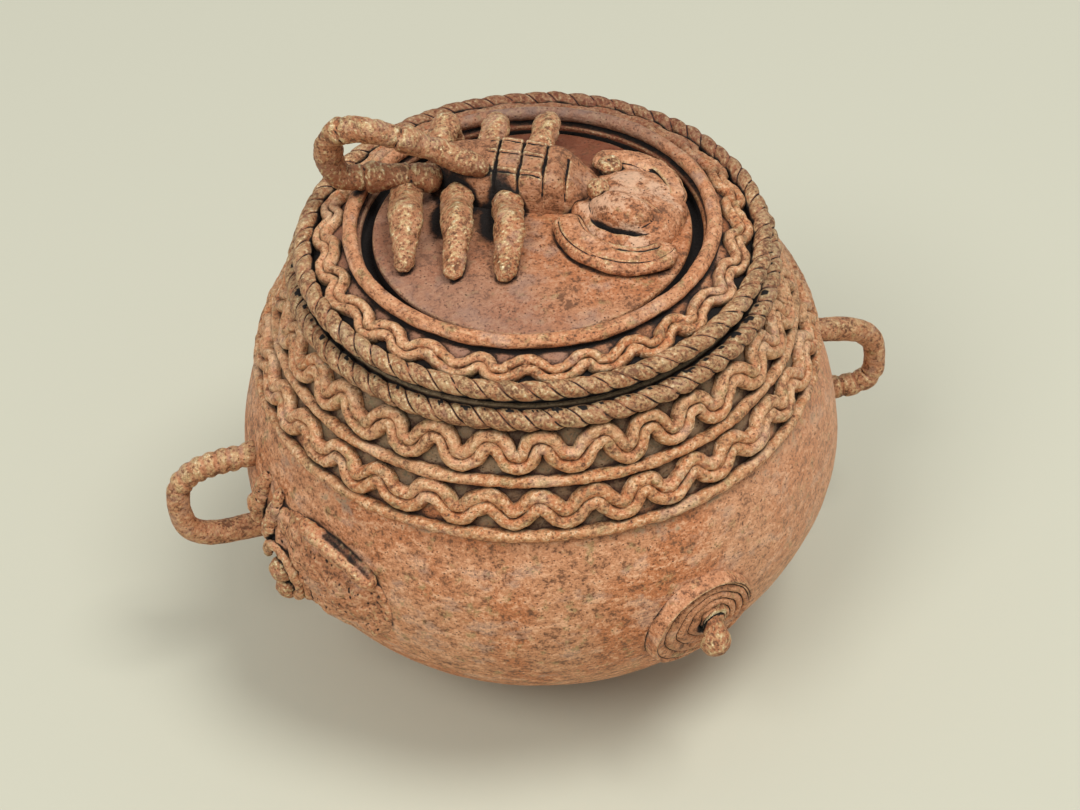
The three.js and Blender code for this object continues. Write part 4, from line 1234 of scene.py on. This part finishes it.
def scorpion_head():
    """A low pad inside the claws, with an egg-shaped snout on it, a deep furrow under the snout and
    brows drawn beside it."""
    def lay(x, y, top):
        edge = min(1, hypot(2 * x / HEAD_LENGTH, 2 * y / HEAD_WIDTH))
        if y < 0:
            y *= NEAR_STRETCH
        spot = Vector((HEAD_X + x, HEAD_Y + y))
        if not top:
            return Vector((*spot, MEDALLION_EDGE - 1.2))
        rise = (HEAD_RISE - 0.4) * sqrt(1 - edge ** 3)
        long, cross = snout_place(spot)
        egg = 1 - (long / (6.9 - 0.08 * long)) ** 2 - (cross / (4.7 if cross < 0 else 3.6)) ** 2
        rise += 3.1 * sqrt(max(0, egg)) + 0.4 * hump(long, cross, 8, 5)
        brow = mark(cross - 4.4 + 0.03 * long ** 2, 0.35) * step_up(7, 5, abs(long - 1))
        dip = hump(x - 5, y - 3.5, 5, 3.5)
        ball_bump = hump(x + 10.6, spot.y - 5, 1.3)
        rise += 0.35 * brow - 2.2 * furrow(long, cross) - 0.6 * dip + 1.3 * ball_bump
        rise += 0.4 * noise.fractal(Vector((x, y, 4)) / 3.4, 0.9, 2, 2)
        return Vector((*spot, MEDALLION_EDGE - 0.2 + rise))

    mesh = lens(HEAD_LENGTH, HEAD_WIDTH, lay, 70, 190)
    finished("scorpion_head", posed(mesh), HEAD_SKIN)


def scorpion_eye(side):
    """The near eye is a bead and the far one a small dish with a rim."""
    name = f"scorpion_eye_{'near' if side < 0 else 'far'}"
    radius = 2.35
    low, high = corners_of(name)
    centre = (low + high) / 2
    centre.z = high.z - radius
    eye = ball(Vector((0, 0, 0)), radius)
    for vert in eye.verts:
        if side > 0:
            vert.co.z -= 0.9 * mark(vert.co.xy.length, 1.2) + 0.1 * vert.co.z
            vert.co.x *= 1.12
        vert.co += centre
    finished(name, hand_worked(eye, 0.25, 1.6, side), LIMB_SKIN)


def scorpion_claw(side):
    """A broad arm bent round the head, with a slit between its two fingers."""
    name = f"scorpion_claw_{'near' if side < 0 else 'far'}"
    if side < 0:
        path = ((7, 1.5), (9.4, -4.2), (13.5, -7.8), (19, -9.4), (24, -8.6), (27.6, -6.2),
                (30.3, -2.8))
    else:
        path = ((8.5, 20.2), (12, 22.4), (17.5, 22.6), (22.7, 19.4), (27, 15.3), (29.6, 11))
    points = [on_medallion(x, y, CLAW_HALF) - Vector((0, 0, 0.7)) for x, y in path]
    slit_angle = pi * (0.64 if side < 0 else 0.36)

    def half(share):
        swell = sin(pi * (0.12 + 0.74 * share))
        return CLAW_HALF * (0.85 + 0.6 * swell), CLAW_HALF * (0.6 + 0.25 * swell)

    def groove(share, angle):
        slit = 0.7 * step_up(0.5, 0.6, share) * step_up(0.93, 0.86, share)
        slit *= mark(angle - slit_angle, 0.15)
        lines = sum(mark(angle - line - 0.3 * share, 0.08) for line in (0.7, 2.3))
        return 1 - slit - 0.1 * lines + 0.04 * cos(3 * angle)

    mesh = hand_worked(rod(points, half, 120, 56, groove), 0.3, 4.5, 20 + side)
    finished(name, posed(mesh), CLAW_SKIN)


# Camera, light and floor

AIM = Vector((0, 0, 52.5)) * MM
PIVOT = Vector((0, 0, EQUATOR)) * MM
CAMERA_DISTANCE = 528.5 * MM
CAMERA_AZIMUTH = radians(-105)
CAMERA_ELEVATION = radians(43.3)
CAMERA_ROLL = radians(-2.61)
LENS = 80.03


def aimed_from(place):
    """Where a camera or a lamp stands and how it is turned to look at the pot."""
    turn = (AIM - place).to_track_quat("-Z", "Y")
    return Matrix.Translation(place) @ turn.to_matrix().to_4x4()


def set_camera():
    out = at_turn(CAMERA_AZIMUTH, cos(CAMERA_ELEVATION), sin(CAMERA_ELEVATION))
    data = bpy.data.cameras.new("camera")
    data.lens = LENS
    data.sensor_width = 36
    data.sensor_fit = "HORIZONTAL"
    camera = shown("camera", data)
    roll = Matrix.Rotation(CAMERA_ROLL, 4, "Z")
    camera.matrix_world = aimed_from(PIVOT + out * CAMERA_DISTANCE) @ roll
    bpy.context.scene.camera = camera


def lamp(name, place, size, power):
    data = bpy.data.lights.new(name, "AREA")
    data.shape = "DISK"
    data.size = size
    data.energy = power
    shown(name, data).matrix_world = aimed_from(Vector(place))


BACKDROP = tone(0xC8C7B4)
ROOM_LIGHT = 0.48


def set_floor():
    mesh = bmesh.new()
    bmesh.ops.create_grid(mesh, x_segments=1, y_segments=1, size=3)
    data = data_from(mesh, "floor")
    shader = Shader("floor_paper")
    surface = shader.node("ShaderNodeBsdfPrincipled", {"Base Color": BACKDROP, "Roughness": 0.9,
                                                       "Specular IOR Level": 0.1})
    data.materials.append(shader.finish(surface))
    floor = shown("floor", data)


def set_world():
    world = bpy.data.worlds.new("studio")
    bpy.context.scene.world = world
    world.use_nodes = True
    background = world.node_tree.nodes["Background"]
    background.inputs["Color"].default_value = (1, 1, 1, 1)
    background.inputs["Strength"].default_value = ROOM_LIGHT


set_camera()
set_world()
set_floor()
lamp("right_softbox", (0.5, -0.35, 1.65), 0.7, 15.8)
lamp("left_softbox", (-0.8, -0.6, 1.3), 0.7, 9.5)

pot_shell()
pot_bands()
loop_handle("handle_left", -1, 22, 0, (0.1, 0.15, 0.2, 0.25, 0.3, 0.35, 0.4))
loop_handle("handle_right", 1, 18.6, 3, (0.62, 0.7, 0.78))
boss()
relief_plaque()
relief_ridge()
relief_coil()
relief_nubs()
relief_prongs()
lid_plate()
medallion_ring()
lid_bands()
scorpion_body()
scorpion_tail()
scorpion_head()
for side in (-1, 1):
    scorpion_eye(side)
    scorpion_claw(side)
    for row in range(3):
        scorpion_leg(side, row)
# Grime and painted shade are worked out on the pot and on the lid by themselves, so where they meet
# stays clean
for pieces in made.values():
    settle_grime_and_shade(pieces)

scene = bpy.context.scene
scene.view_settings.view_transform = "Standard"
bpy.context.view_layer.update()
